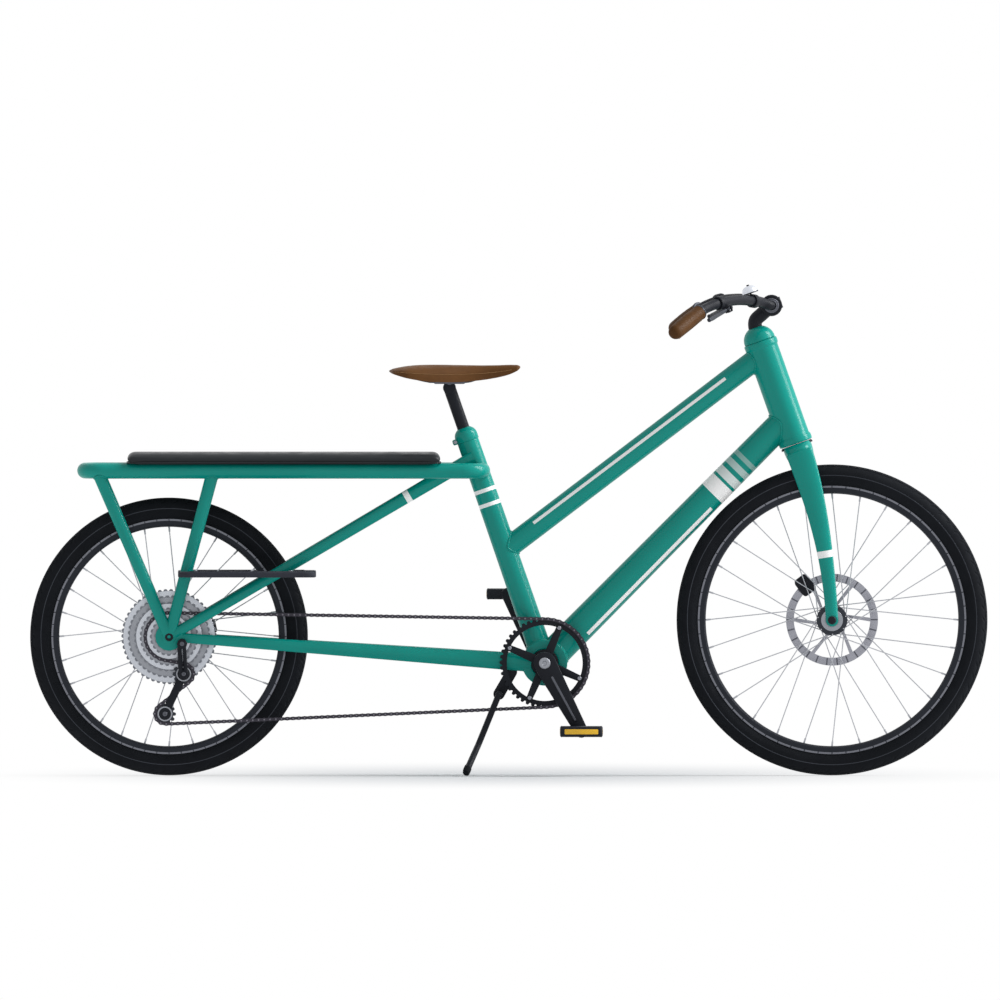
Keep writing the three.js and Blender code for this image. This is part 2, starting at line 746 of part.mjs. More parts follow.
for (const [name, side] of Object.entries(sides)) {
  addPiece(bicycle, `rack_rail_${name}`, rackRail(side), 'teal');
  addPiece(bicycle, `seatstay_${name}`, seatstay(side), 'teal');
  addPiece(bicycle, `chainstay_${name}`, chainstay(side), 'teal');
  addPiece(bicycle, `front_strut_${name}`, frontStrut(side), 'teal');
  addPiece(bicycle, `rear_strut_${name}`, rearStrut(side), 'teal');
  addPiece(bicycle, `footboard_${name}`, footBoard(side), 'darkGrey');
}
addPiece(bicycle, 'bottom_bracket_shell', bracketShell(), 'teal');
addPiece(bicycle, 'seat_tube', seatTube(), 'teal');
addPiece(bicycle, 'top_tube', cut(topTubeSolid(), seatTubeSolid(seatGap), headTubeSpace(seatGap)), 'teal');
addPiece(bicycle, 'down_tube',
  cut(downTubeSolid(), bracketSolid(seatGap), seatTubeSolid(seatGap), headTubeSpace(seatGap)), 'teal');
addPiece(steering, 'head_tube', headTube(), 'teal');
addPiece(steering, 'headset_upper', headsetUpper(), 'teal');
addPiece(bicycle, 'seat_clamp', seatClamp(), 'teal');
addPiece(bicycle, 'rack_deck', rackDeck(), 'darkGrey');
addPiece(bicycle, 'deck_pad', cushion(), 'vinyl');

// Fork: crown, two tapering legs that sweep back to the axle, and the steerer
const crownTop = -runGap * 2 - seatGap;
const crownShares = [[0.72, 1.05, 0], [0.98, 1.05, 0.35], [1, 1, 0.7], [0.9, 0.85, 1]];
const legDepthShares = [1, 0.9, 0.76, 0.64, 0.53, 0.47, 0.45];
const legStations = legDepthShares.length - 1;
const legSides = 10;
const crownSquareness = 0.75;

function forkLeg(side) {
  const rings = legDepthShares.map((depthShare, i) => {
    const t = i / legStations;
    const centreX = forkOffset * t ** 2;
    const centreY = side * (forkCrownWidth / 2 + (forkTipSpread - forkCrownWidth / 2) * t);
    const z = crownTop - forkCrownHeight / 2 - (forkLength + crownTop - forkCrownHeight / 2) * t;
    return Array.from({ length: legSides }, (_, k) => {
      const angle = (k / legSides) * 2 * Math.PI;
      return point(centreX + (forkLegDepth / 2) * depthShare * Math.cos(angle),
        centreY + (forkLegWidth / 2) * (1 + depthShare / 2) * Math.sin(angle), z);
    });
  });
  return loft(rings, (p) => new THREE.Vector2(p.x, p.y));
}

function forkCrown() {
  return loft(crownShares.map(([widthShare, depthShare, dropShare]) => {
    const z = crownTop - forkCrownHeight * dropShare;
    const reach = (forkCrownWidth / 2 + forkLegWidth / 2) * widthShare;
    return Array.from({ length: legSides }, (_, k) => {
      const angle = (k / legSides) * 2 * Math.PI;
      const [c, s] = [Math.cos(angle), Math.sin(angle)];
      return point((forkLegDepth / 2) * depthShare * Math.sign(c) * Math.abs(c) ** crownSquareness,
        reach * Math.sign(s) * Math.abs(s) ** crownSquareness, z);
    });
  }), (p) => new THREE.Vector2(p.x, p.y));
}

// A round bar up the steering axis
const steeringBar = (radius, from, to, count) => upright(
  turned([[0, from], [radius, from], [radius, to], [0, to]], count));
const forkTip = point(forkOffset, 0, -forkLength);
const forkTipOuter = forkTipSpread + forkLegWidth / 2 + runGap * 2;

function fork() {
  const hubHalf = frontHubWidth / 2 + seatGap;
  const race = steeringBar(headTubeRadius, crownTop - raceHeight, crownTop);
  const steererTop = headTubeLength - seatGap;
  const steerer = steeringBar(steererRadius, crownTop - raceHeight, steererTop);
  const quillBore = steeringBar(stemRadius + seatGap, stemFoot - runGap, steererTop + overrun);
  const hole = crossBar(forkTip, axleRadius + seatGap, -overrun * 2, overrun * 2, tubeSides);
  const hubSpaceFront = crossBar(forkTip, dropoutRadius * 2, -hubHalf, hubHalf);
  const ends = Object.values(sides).flatMap((side) => [
    forkLeg(side),
    crossBar(forkTip, dropoutRadius / 2, side * hubHalf, side * forkTipOuter, tubeSides),
  ]);
  return cut(join(forkCrown(), race, steerer, ...ends), quillBore, hubSpaceFront, hole);
}

// Stem: a quill in the steerer, an elbow and a clamp for the bar
const stemFoot = headTubeLength - stemInsert;
const clampBoreRadius = barRadius + barBulge;

function stem() {
  const quill = steeringBar(stemRadius, stemFoot, stemElbow);
  const elbow = new THREE.SphereGeometry(stemRadius, tubeSides, tubeSides / 2).rotateX(Math.PI / 2);
  elbow.translate(0, 0, stemElbow);
  const arm = straightTube(point(0, 0, stemElbow), point(stemReach, 0, stemRise), stemRadius, stemRadius * 0.9);
  const clampPlace = point(stemReach, 0, stemRise);
  const clamp = crossBar(clampPlace, stemClampRadius, -stemClampWidth / 2, stemClampWidth / 2);
  const bore = crossBar(clampPlace, clampBoreRadius + runGap, -overrun, overrun);
  return cut(join(quill, elbow, arm, clamp), bore);
}

// Handlebar: places on its right half, as shares of its reach back, its rise and its half width
const barShares = [
  [0, 0, 0], [0, 0, 0.075], [0.03, 0.1, 0.1], [0.09, 0.32, 0.14], [0.18, 0.58, 0.27],
  [0.31, 0.84, 0.43], [0.47, 1, 0.6], [0.61, 0.99, 0.7], [0.683, 0.915, 0.768], [0.99, 0.395, 0.99],
];
const barPoint = ([back, rise, out], side) => point(
  stemReach - back * barBack, side * out * barHalfWidth, stemRise + rise * barRise);
const barSpline = (side) => new THREE.CatmullRomCurve3(
  barShares.slice(1, -1).map((row) => barPoint(row, side)));

function handlebar() {
  const stations = [
    ...[...barSpline(sides.right).getPoints(9), barPoint(barShares.at(-1), sides.right)].toReversed(),
    ...barSpline(sides.left).getPoints(9), barPoint(barShares.at(-1), sides.left),
  ];
  const tube = routedTube(stations, circleShape(barRadius, barSides));
  const reach = stemClampWidth * 0.7;
  const bulge = crossBar(barPoint(barShares[0], sides.right), clampBoreRadius, -reach, reach);
  return join(tube, bulge);
}

// Grips: a sleeve with raised ends over each end of the bar
function grip(side) {
  const [start, end] = [barPoint(barShares.at(-2), side), barPoint(barShares.at(-1), side)];
  const along = end.clone().sub(start).normalize();
  const bore = (barRadius + seatGap) / Math.cos(Math.PI / tubeSides);
  const lip = gripLength / 25;
  const depth = start.distanceTo(end) + seatGap;
  const profile = [
    [bore, 0], [gripRadius * 0.97, 0], [gripRadius, lip], [gripRadius, lip * 2], [gripRadius * 0.9, lip * 3],
    [gripRadius * 0.95, gripLength / 2], [gripRadius * 0.93, gripLength - lip * 3], [gripRadius, gripLength - lip],
    [gripRadius * 0.9, gripLength + lip], [0, gripLength + lip * 1.5], [0, depth], [bore, depth],
  ];
  const sleeve = turned(profile, tubeSides);
  sleeve.applyQuaternion(new THREE.Quaternion().setFromUnitVectors(point(0, 1, 0), along));
  return moved(sleeve, start);
}

// Brake levers: a band on the bar with a fork for the lever, and the blade that turns in it
const hingeShares = [0.44, 0.99, 0.6];
const mountShares = [0.47, 1, 0.6];
const leverHinge = (side) => barPoint(hingeShares, side).add(point(leverShift, 0, -leverDrop));
const barLength = (side, grow) => routedTube(
  barSpline(side).getPoints(9), circleShape(barRadius + grow, barSides));

function brakeMount(side) {
  const hinge = leverHinge(side);
  const near = nearestOn(barSpline(side), barPoint(mountShares, side));
  const bandRadius = barRadius + mountBandWall;
  const band = new THREE.CylinderGeometry(bandRadius, bandRadius, mountBandWidth, smallSides);
  band.applyQuaternion(new THREE.Quaternion().setFromUnitVectors(point(0, 1, 0), near.tangent));
  moved(band, near.place);
  const ears = moved(steeringBar(mountEarRadius, -mountEarHeight / 2, mountEarHeight / 2, smallSides), hinge);
  const body = straightTube(near.place, hinge, mountBandWidth / 2, mountEarRadius, { count: barSides });
  const slot = moved(new THREE.BoxGeometry(overrun, overrun, leverThickness + runGap * 4), hinge);
  const pin = moved(steeringBar(leverHingeRadius, -mountPinHeight / 2, mountPinHeight / 2, tubeSides), hinge);
  return join(cut(join(band, body, ears), slot, barLength(side, seatGap)), pin);
}

function nearestOn(curve, place) {
  const count = 400;
  const best = Array.from({ length: count + 1 }, (_, i) => i / count)
    .reduce((a, b) => (curve.getPoint(a).distanceTo(place) < curve.getPoint(b).distanceTo(place) ? a : b));
  return { place: curve.getPoint(best), tangent: curve.getTangent(best).normalize() };
}

function brakeLever(side) {
  const hinge = leverHinge(side);
  const shares = [[0, 0, 0], [0.28, 0.2, 0.25], [0.55, 0.5, 0.45], [1, 1, 0.8]];
  const [back, out, up] = leverReach;
  const stations = new THREE.CatmullRomCurve3(shares.map(([a, b, c]) => point(
    hinge.x + back * a, hinge.y + side * out * b, hinge.z + up * c))).getPoints(5);
  const blade = routedTube(stations, circleShape(leverThickness / 2, 6));
  const eye = moved(steeringBar(leverEyeRadius, -leverThickness / 2, leverThickness / 2, smallSides), hinge);
  const bore = moved(steeringBar(leverHingeRadius + seatGap, -overrun, overrun, tubeSides), hinge);
  return cut(join(blade, eye), bore);
}

// Bell: a band on the bar, a post and a hollow dome, with a thumb lever beside it
const bellShares = [0.15, 0.5, 0.235];
const bellSeat = nearestOn(barSpline(sides.right), barPoint(bellShares, sides.right));
const bellBase = bellSeat.place.z + barRadius + bellBand;

function bell() {
  const band = new THREE.CylinderGeometry(barRadius + bellBand, barRadius + bellBand, bellRadius, smallSides);
  band.applyQuaternion(new THREE.Quaternion().setFromUnitVectors(point(0, 1, 0), bellSeat.tangent));
  moved(band, bellSeat.place);
  const domeHeight = bellRadius * 0.8;
  const curve = (radius, height) => Array.from({ length: 4 }, (_, i) => {
    const angle = (i / 3) * (Math.PI / 2);
    return [radius * Math.cos(angle), height * Math.sin(angle)];
  });
  const gap = bellWall * 2;
  const dome = turned([
    ...curve(bellRadius, domeHeight),
    ...curve(bellRadius - bellWall, domeHeight - bellWall).toReversed(),
  ].map(([r, h]) => [r < weld ? 0 : r, h]), smallSides);
  upright(dome).translate(bellSeat.place.x, bellSeat.place.y, bellBase + gap);
  const post = steeringBar(bellBand, -bellBand * 2, domeHeight + gap - bellWall / 2, 6);
  post.translate(bellSeat.place.x, bellSeat.place.y, bellBase);
  return cut(join(band, post, dome, bellLug()), barLength(sides.right, seatGap));
}

const bellLeverHinge = point(bellSeat.place.x - bellRadius * 1.15, bellSeat.place.y, bellBase - bellBand);

// The lug beside the bell's band, with the pin that its thumb lever turns on
function bellLug() {
  const reach = [bellLeverHinge.x - bellSeat.place.x, 0];
  const shape = linkShape([0, 0], bellBand * 2, reach, bellBand, 6);
  const top = bellLeverHinge.z - runGap;
  const lug = new THREE.ExtrudeGeometry(shape, { depth: bellLugThickness, bevelEnabled: false })
    .translate(bellSeat.place.x, bellSeat.place.y, top - bellLugThickness);
  const pinTop = bellLeverHinge.z + bellWall + bellPinRadius;
  const pin = steeringBar(bellPinRadius, top - bellLugThickness / 3, pinTop, barSides);
  return join(lug, pin.translate(bellLeverHinge.x, bellLeverHinge.y, 0));
}

function bellLever() {
  const thumb = bellRadius * 0.9;
  const arm = linkShape([0, 0], bellBand, [-thumb, 0], bellBand * 1.5, 6);
  arm.holes.push(circleShape(bellPinRadius + seatGap, barSides));
  return new THREE.ExtrudeGeometry(arm, { depth: bellWall, bevelEnabled: false })
    .translate(bellLeverHinge.x, bellLeverHinge.y, bellLeverHinge.z);
}

addPiece(steering, 'fork', fork(), 'teal');
addPiece(steering, 'stem', stem(), 'black');
addPiece(steering, 'handlebar', handlebar(), 'black');
for (const [name, side] of Object.entries(sides)) {
  addPiece(steering, `grip_${name}`, grip(side), 'leather');
  addPiece(steering, `brake_mount_${name}`, brakeMount(side), 'black');
  addPiece(steering, `brake_lever_${name}`, brakeLever(side), 'steel');
}
addPiece(steering, 'bell', bell(), 'silver');
addPiece(steering, 'bell_lever', bellLever(), 'black');

// Wheels. Each profile turns about the axle, which lies along Y
function tyre(tyreRadius) {
  const middle = tyreRadius - tyreHeight / 2;
  const lip = rimHalfWidth - rimWall - seatGap;
  const start = -Math.acos(lip / (tyreWidth / 2));
  const arc = (halfHeight, halfWidth, from, to, steps) => Array.from({ length: steps + 1 }, (_, i) => {
    const angle = from + ((to - from) * i) / steps;
    return [middle + halfHeight * Math.sin(angle), halfWidth * Math.cos(angle)];
  });
  const outer = arc(tyreHeight / 2, tyreWidth / 2, start, Math.PI - start, 6);
  const inner = arc(tyreHeight / 2 - tyreWall, tyreWidth / 2 - tyreWall, start * 0.7, Math.PI - start * 0.7, 2);
  return turned([...outer, ...inner.toReversed()], wheelSides);
}

function rim(tyreRadius) {
  const seat = tyreRadius - tyreHeight - seatGap;
  const flange = seat + rimFlange;
  const well = seat - rimFlange;
  const inner = seat - rimInset;
  const half = [
    [flange, rimHalfWidth - rimWall], [flange, rimHalfWidth],
    [inner + rimWall, rimHalfWidth], [inner, rimHalfWidth * 0.7],
  ];
  const seatPoints = [[well, rimHalfWidth - rimWall]];
  const mirror = (rows) => rows.map(([r, y]) => [r, -y]);
  return turned([...half, ...mirror(half).toReversed(), ...mirror(seatPoints), ...seatPoints.toReversed()], wheelSides);
}

// Crossed spokes: every second one leans the other way, and every second pair sits on the other flange
function spokes(rimRadius, flangeRadius, flangePlaces) {
  const lean = deg(spokeLean);
  const step = (2 * Math.PI) / spokeCount;
  return Array.from({ length: spokeCount }, (_, i) => {
    const flangeY = flangePlaces[i % 2];
    const leanWay = Math.floor(i / 2) % 2 === 0 ? 1 : -1;
    const rimAngle = i * step;
    const hubAngle = rimAngle + leanWay * lean;
    const sideStep = leanWay * (spokeRadius + seatGap / 2);
    const hubRadius = flangeRadius - flangeThickness / 2;
    const from = point(hubRadius * Math.cos(hubAngle), flangeY + sideStep, hubRadius * Math.sin(hubAngle));
    const to = point(rimRadius * Math.cos(rimAngle), Math.sign(flangeY) * spokeRadius * 2 + sideStep,
      rimRadius * Math.sin(rimAngle));
    return straightTube(from, to, spokeRadius, spokeRadius, { count: 3 });
  });
}

function hub(profile, rimRadius, flangeRadius, flangePlaces) {
  const shell = turned(profile, roundSides);
  return join(shell, ...spokes(rimRadius, flangeRadius, flangePlaces));
}

const axleBore = axleRadius + runGap;
const rimInnerRadius = (tyreRadius) => (
  (tyreRadius - tyreHeight - seatGap - rimInset) * Math.cos(Math.PI / wheelSides) - seatGap);

function frontHub() {
  const end = frontHubWidth / 2 - seatGap;
  const [inner, outer] = [frontFlangePlace - flangeThickness / 2, frontFlangePlace + flangeThickness / 2];
  const cap = end - frontCapRadius / 3;
  const profile = [
    [axleBore, -end], [axleRadius * 2, -end], [frontCapRadius, -cap], [frontCapRadius, -outer],
    [frontFlangeRadius, -outer], [frontFlangeRadius, -inner], [frontCoreRadius, -inner],
    [frontCoreRadius, inner], [frontFlangeRadius, inner], [frontFlangeRadius, outer], [rotorBossRadius, outer],
    [rotorBossRadius, cap], [axleRadius * 2, end], [axleBore, end],
  ];
  const flanges = [-frontFlangePlace, frontFlangePlace];
  return hub(profile, rimInnerRadius(frontTyreRadius), frontFlangeRadius, flanges);
}

function rearHub() {
  const end = rearHubWidth / 2 - seatGap;
  const half = flangeThickness / 2;
  const chamfer = freehubRadius / 5;
  const profile = [
    [axleBore, -end], [axleRadius * 2, -end], [freehubRadius, chamfer - end], [freehubRadius, -cassetteStart],
    [rearFlangeRadius * 0.8, -rearFlangeRight - half], [rearFlangeRadius, -rearFlangeRight - half],
    [rearFlangeRadius, half - rearFlangeRight], [rearCoreRadius, half - rearFlangeRight],
    [rearCoreRadius, rearFlangeLeft - half], [rearFlangeRadius, rearFlangeLeft - half],
    [rearFlangeRadius, rearFlangeLeft + half], [rotorBossRadius, rearFlangeLeft + half],
    [rotorBossRadius, rearRotorPlace + rotorThickness], [axleRadius * 2, end], [axleBore, end],
  ];
  return hub(profile, rimInnerRadius(rearTyreRadius), rearFlangeRadius, [-rearFlangeRight, rearFlangeLeft]);
}

// A brake rotor: a slotted ring on curved arms
function rotor(radius, place) {
  const shape = circleShape(radius, wheelSides);
  const arms = 6;
  const ringInner = radius - rotorRing;
  const hubOuter = rotorBossRadius + rotorRing / 3;
  const armAngle = 0.22;
  const gap = (2 * Math.PI) / arms;
  for (let i = 0; i < arms; i += 1) {
    const window = new THREE.Path();
    const [start, end] = [i * gap + armAngle / 2, (i + 1) * gap - armAngle / 2];
    window.absarc(0, 0, ringInner, start, end, false);
    window.absarc(0, 0, hubOuter, end + armAngle * 1.2, start + armAngle * 1.6, true);
    window.closePath();
    shape.holes.push(window);
  }
  shape.holes.push(circleShape(rotorBossRadius + seatGap, roundSides));
  return sidePlate(shape, place - rotorThickness / 2, place + rotorThickness / 2, 2);
}

const frontWheel = placedGroup(steering, forkTip, -steering.rotation.y);
const rearWheel = placedGroup(bicycle, rearAxle);
addPiece(frontWheel, 'front_tyre', tyre(frontTyreRadius), 'tyre');
addPiece(frontWheel, 'front_rim', rim(frontTyreRadius), 'rim');
addPiece(frontWheel, 'front_hub', frontHub(), 'silver');
addPiece(frontWheel, 'front_rotor', rotor(frontRotorRadius, frontRotorPlace), 'steel');
addPiece(rearWheel, 'rear_tyre', tyre(rearTyreRadius), 'tyre');
addPiece(rearWheel, 'rear_rim', rim(rearTyreRadius), 'rim');
addPiece(rearWheel, 'rear_hub', rearHub(), 'silver');
addPiece(rearWheel, 'rear_rotor', rotor(rearRotorRadius, rearRotorPlace), 'steel');

// Axles: a rod through the hub with a head outside each dropout
function axle(centre, halfWidth) {
  const head = axleRadius * 1.5;
  const chamfer = axleHeadHeight / 3;
  const inner = halfWidth + seatGap;
  const outer = inner + axleHeadHeight;
  const profile = [
    [0, -outer], [head * 0.8, -outer], [head, chamfer - outer], [head, -inner], [axleRadius, -inner],
    [axleRadius, inner], [head, inner], [head, outer - chamfer], [head * 0.8, outer], [0, outer],
  ];
  return moved(turned(profile, smallSides), centre);
}

addPiece(bicycle, 'rear_axle', axle(rearAxle, dropoutInner + dropoutThickness), 'black');
addPiece(steering, 'front_axle', axle(forkTip, forkTipOuter), 'black');

// Drive train. Angles grow from +X towards +Z in the side view
const pitchRadius = (teeth) => chainPitch / (2 * Math.sin(Math.PI / teeth));

function toothedShape(teeth, phase, grow = 0) {
  const shape = new THREE.Shape();
  const radius = pitchRadius(teeth);
  const step = (2 * Math.PI) / teeth;
  const marks = [[0, -toothRoot], [0.5, toothRise]];
  for (let i = 0; i < teeth; i += 1) {
    marks.forEach(([turn, rise], k) => {
      const angle = phase + (i + turn) * step;
      const r = radius + rise + grow;
      const [x, z] = [r * Math.cos(angle), r * Math.sin(angle)];
      if (i === 0 && k === 0) shape.moveTo(x, z);
      else shape.lineTo(x, z);
    });
  }
  shape.closePath();
  return shape;
}

// The chain's wheels in the order in which it runs, with the way each one turns
const guidePulley = point(rearAxle.x + guideOffset[0], 0, rearAxle.z + guideOffset[1]);

function chainWheels(cageAngle) {
  const tension = guidePulley.clone();
  tension.add(point(cageLength * Math.cos(cageAngle), 0, cageLength * Math.sin(cageAngle)));
  return [
    { centre: rearAxle, teeth: chainSprocketTeeth, turn: 1 },
    { centre: bracket, teeth: chainringTeeth, turn: 1 },
    { centre: tension, teeth: pulleyTeeth, turn: 1 },
    { centre: guidePulley, teeth: pulleyTeeth, turn: -1 },
  ];
}

// The straight runs between neighbouring wheels: each one touches both circles
function chainRuns(wheels) {
  return wheels.map((wheel, i) => {
    const next = wheels[(i + 1) % wheels.length];
    const [dx, dz] = [next.centre.x - wheel.centre.x, next.centre.z - wheel.centre.z];
    const far = Math.hypot(dx, dz);
    const [r1, r2] = [wheel.turn * pitchRadius(wheel.teeth), next.turn * pitchRadius(next.teeth)];
    const heading = Math.atan2(dz, dx) - Math.asin((r1 - r2) / far);
    return { heading, length: Math.sqrt(far ** 2 - (r1 - r2) ** 2) };
  });
}

// The arc on each wheel, counted in whole and part pitches
function chainArcs(wheels, runs) {
  return wheels.map((wheel, i) => {
    const [into, out] = [runs[(i + runs.length - 1) % runs.length].heading, runs[i].heading];
    const sweep = (((into - out) * wheel.turn) % (2 * Math.PI) + 2 * Math.PI) % (2 * Math.PI);
    return { sweep, entry: into + (wheel.turn * Math.PI) / 2, pitches: (sweep * wheel.teeth) / (2 * Math.PI) };
  });
}

function chainLength(cageAngle) {
  const wheels = chainWheels(cageAngle);
  const runs = chainRuns(wheels);
  const arcs = chainArcs(wheels, runs);
  const straight = runs.reduce((sum, run) => sum + run.length, 0);
  return straight / chainPitch + arcs.reduce((sum, arc) => sum + arc.pitches, 0);
}

// The cage takes the angle at which the chain holds a whole, even number of links
const cageRestAngle = deg(240.5);
const cageSearch = deg(12);
const chainLinks = 2 * Math.round(chainLength(cageRestAngle) / 2);

function solveCage() {
  let [low, high] = [cageRestAngle - cageSearch, cageRestAngle + cageSearch];
  const rising = chainLength(high) > chainLength(low);
  for (let i = 0; i < 60; i += 1) {
    const middle = (low + high) / 2;
    if ((chainLength(middle) < chainLinks) === rising) low = middle;
    else high = middle;
  }
  return (low + high) / 2;
}

const cageAngle = solveCage();
const wheelsOfChain = chainWheels(cageAngle);
const runsOfChain = chainRuns(wheelsOfChain);
const arcsOfChain = chainArcs(wheelsOfChain, runsOfChain);
const tensionPulley = wheelsOfChain[2].centre;

// Where the chain is after a number of pitches, counted from where it meets the cassette
function chainPlace(pitches) {
  let rest = pitches;
  for (let i = 0; i < wheelsOfChain.length; i += 1) {
    const [wheel, arc, run] = [wheelsOfChain[i], arcsOfChain[i], runsOfChain[i]];
    const radius = pitchRadius(wheel.teeth);
    const angleAt = (p) => arc.entry - (wheel.turn * p * 2 * Math.PI) / wheel.teeth;
    const on = (angle) => wheel.centre.clone().add(point(radius * Math.cos(angle), 0, radius * Math.sin(angle)));
    if (rest <= arc.pitches) {
      const angle = angleAt(rest);
      return { place: on(angle), heading: angle - (wheel.turn * Math.PI) / 2 };
    }
    rest -= arc.pitches;
    if (rest <= run.length / chainPitch) {
      const place = on(angleAt(arc.pitches));
      place.x += rest * chainPitch * Math.cos(run.heading);
      place.z += rest * chainPitch * Math.sin(run.heading);
      return { place, heading: run.heading };
    }
    rest -= run.length / chainPitch;
  }
  return chainPlace(rest);
}

// The angle of a roller on each wheel, which its teeth are cut to
function wheelPhase(index) {
  const before = runsOfChain.slice(0, index).reduce((sum, run) => sum + run.length / chainPitch, 0)
    + arcsOfChain.slice(0, index).reduce((sum, arc) => sum + arc.pitches, 0);
  const { teeth, turn } = wheelsOfChain[index];
  return arcsOfChain[index].entry + (turn * before * 2 * Math.PI) / teeth;
}

const chainIndex = sprocketTeeth.indexOf(chainSprocketTeeth);
const sprocketPlace = (i) => -(chainLine + (i - chainIndex) * sprocketSpacing);

function cassette() {
  const half = sprocketThickness / 2;
  const discs = sprocketTeeth.map((teeth, i) => sidePlate(
    toothedShape(teeth, wheelPhase(0)), sprocketPlace(i) - half, sprocketPlace(i) + half));
  const [inner, outer] = [sprocketPlace(0), sprocketPlace(sprocketTeeth.length - 1)];
  const sleeve = crossBar(point(0, 0, 0), freehubRadius + sleeveWall, inner, outer);
  const bore = crossBar(point(0, 0, 0), freehubRadius + runGap, inner + overrun, outer - overrun);
  return cut(join(sleeve, ...discs), bore);
}

const cassetteGroup = placedGroup(bicycle, rearAxle);
addPiece(cassetteGroup, 'cassette', cassette(), 'silver');

// Chain: links that are wide and narrow in turn, cleared for the teeth of the wheels they run on

function chain() {
  const rings = Array.from({ length: chainLinks }, (_, k) => {
    const { place, heading } = chainPlace(k);
    const halfWidth = chainHalfWidth * (k % 2 === 0 ? 1 : innerLinkShare);
    const [nx, nz] = [-Math.sin(heading) * linkHalfHeight, Math.cos(heading) * linkHalfHeight];
    const [right, left] = [-chainLine - halfWidth, halfWidth - chainLine];
    return [
      point(place.x + nx, right, place.z + nz), point(place.x + nx, left, place.z + nz),
      point(place.x - nx, left, place.z - nz), point(place.x - nx, right, place.z - nz),
    ];
  });
  const band = new THREE.BufferGeometry();
  const places = rings.flat().flatMap((p) => [p.x, p.y, p.z]);
  band.setAttribute('position', new THREE.Float32BufferAttribute(places, 3));
  const corners = 4;
  const faces = rings.flatMap((_, r) => Array.from({ length: corners }, (__, i) => {
    const [a, b] = [r * corners + i, r * corners + ((i + 1) % corners)];
    const [c, d] = [(a + corners) % (chainLinks * corners), (b + corners) % (chainLinks * corners)];
    return [a, b, c, b, d, c];
  }).flat());
  band.setIndex(faces);
  const teeth = wheelsOfChain.map((wheel, i) => {
    const half = (i === 0 ? sprocketThickness : chainringThickness) / 2 + seatGap;
    const shape = toothedShape(wheel.teeth, wheelPhase(i), seatGap);
    return moved(sidePlate(shape, -chainLine - half, half - chainLine), wheel.centre);
  });
  return cut(band, ...teeth);
}

addPiece(bicycle, 'chain', chain(), 'chain');

// Cranks and chainring, about the bottom bracket
const crankGroup = placedGroup(bicycle, bracket);
const crankTip = (side) => [
  -side * crankLength * Math.cos(deg(crankAngle)), -side * crankLength * Math.sin(deg(crankAngle))];
const grooveShares = [0.22, 0.82];
const grooveTaperShare = 1.002;

function crankArm(side) {
  const [inner, outer] = [side * crankInner, side * (crankInner + crankThickness)];
  const shape = linkShape([0, 0], crankHubRadius, crankTip(side), crankTipRadius);
  const arm = sidePlate(shape, inner, outer);
  const [tipX, tipZ] = crankTip(side);
  const pinInner = crankInner + crankThickness / 2;
  const pinOuter = pedalOuter - pedalGap;
  const pin = crossBar(point(tipX, 0, tipZ), pedalAxleRadius, side * pinInner, side * pinOuter, tubeSides);
  const [start, end] = grooveShares.map((share) => [tipX * share, tipZ * share]);
  const groove = linkShape(start, grooveRadius, end, grooveRadius * grooveTaperShare, 4);
  const floor = crankInner + crankThickness - grooveDepth;
  return cut(join(arm, pin), sidePlate(groove, side * floor, side * (floor + overrun)));
}

const pedalInner = crankInner + crankThickness + pedalGap;
const pedalOuter = pedalInner + pedalWidth;
const spiderOuter = chainLine + chainringThickness / 2 + seatGap + spiderThickness;

function crankRight() {
  const inner = spiderThickness - spiderOuter;
  const hubBoss = crossBar(point(0, 0, 0), crankHubRadius, inner, -crankInner - grooveDepth);
  const arms = spiderAngles.map((angle) => {
    const end = [spiderRadius * Math.cos(deg(angle)), spiderRadius * Math.sin(deg(angle))];
    return sidePlate(linkShape([0, 0], spiderWidth * 0.7, end, spiderWidth / 2, 4), inner, -spiderOuter);
  });
  const far = crankInner + crankThickness - grooveDepth;
  const spindle = crossBar(point(0, 0, 0), spindleRadius, -crankInner, far);
  return join(crankArm(sides.right), hubBoss, spindle, ...arms);
}

function crankLeft() {
  const bore = crossBar(point(0, 0, 0), spindleRadius + seatGap, 0, crankInner + overrun);
  const inner = bracketWidth / 2 + grooveDepth;
  const collar = crossBar(point(0, 0, 0), crankHubRadius * 0.8, inner, crankInner + grooveDepth);
  return cut(join(crankArm(sides.left), collar), bore);
}

function chainring() {
  const shape = toothedShape(chainringTeeth, wheelPhase(1));
  const inner = new THREE.Path();
  inner.absarc(0, 0, chainringInner, 0, 2 * Math.PI, true);
  shape.holes.push(inner);
  return sidePlate(shape, -chainLine - chainringThickness / 2, chainringThickness / 2 - chainLine, 20);
}

// Pedals: a platform with two windows, carried on the crank's axle
function pedal(side) {
  const [tipX, tipZ] = crankTip(side);
  const [inner, outer] = [side * pedalInner, side * pedalOuter];
  const middle = (inner + outer) / 2;
  const corner = pedalHeight / 3;
  const outline = roundedRectangle(-pedalLength / 2, -pedalHeight / 2, pedalLength / 2, pedalHeight / 2, corner);
  const body = sidePlate(outline, inner, outer, 3);
  const [from, to] = [middle - pedalWidth, middle + pedalWidth];
  const bore = crossBar(point(0, 0, 0), pedalAxleRadius + runGap, from, to, tubeSides);
  const windowLength = pedalLength * 0.3;
  const windows = [-1, 1].map((way) => new THREE.BoxGeometry(windowLength, pedalWidth * 0.78, overrun)
    .translate(way * pedalLength * 0.25, middle, 0));
  return moved(cut(body, bore, ...windows), point(tipX, 0, tipZ));
}

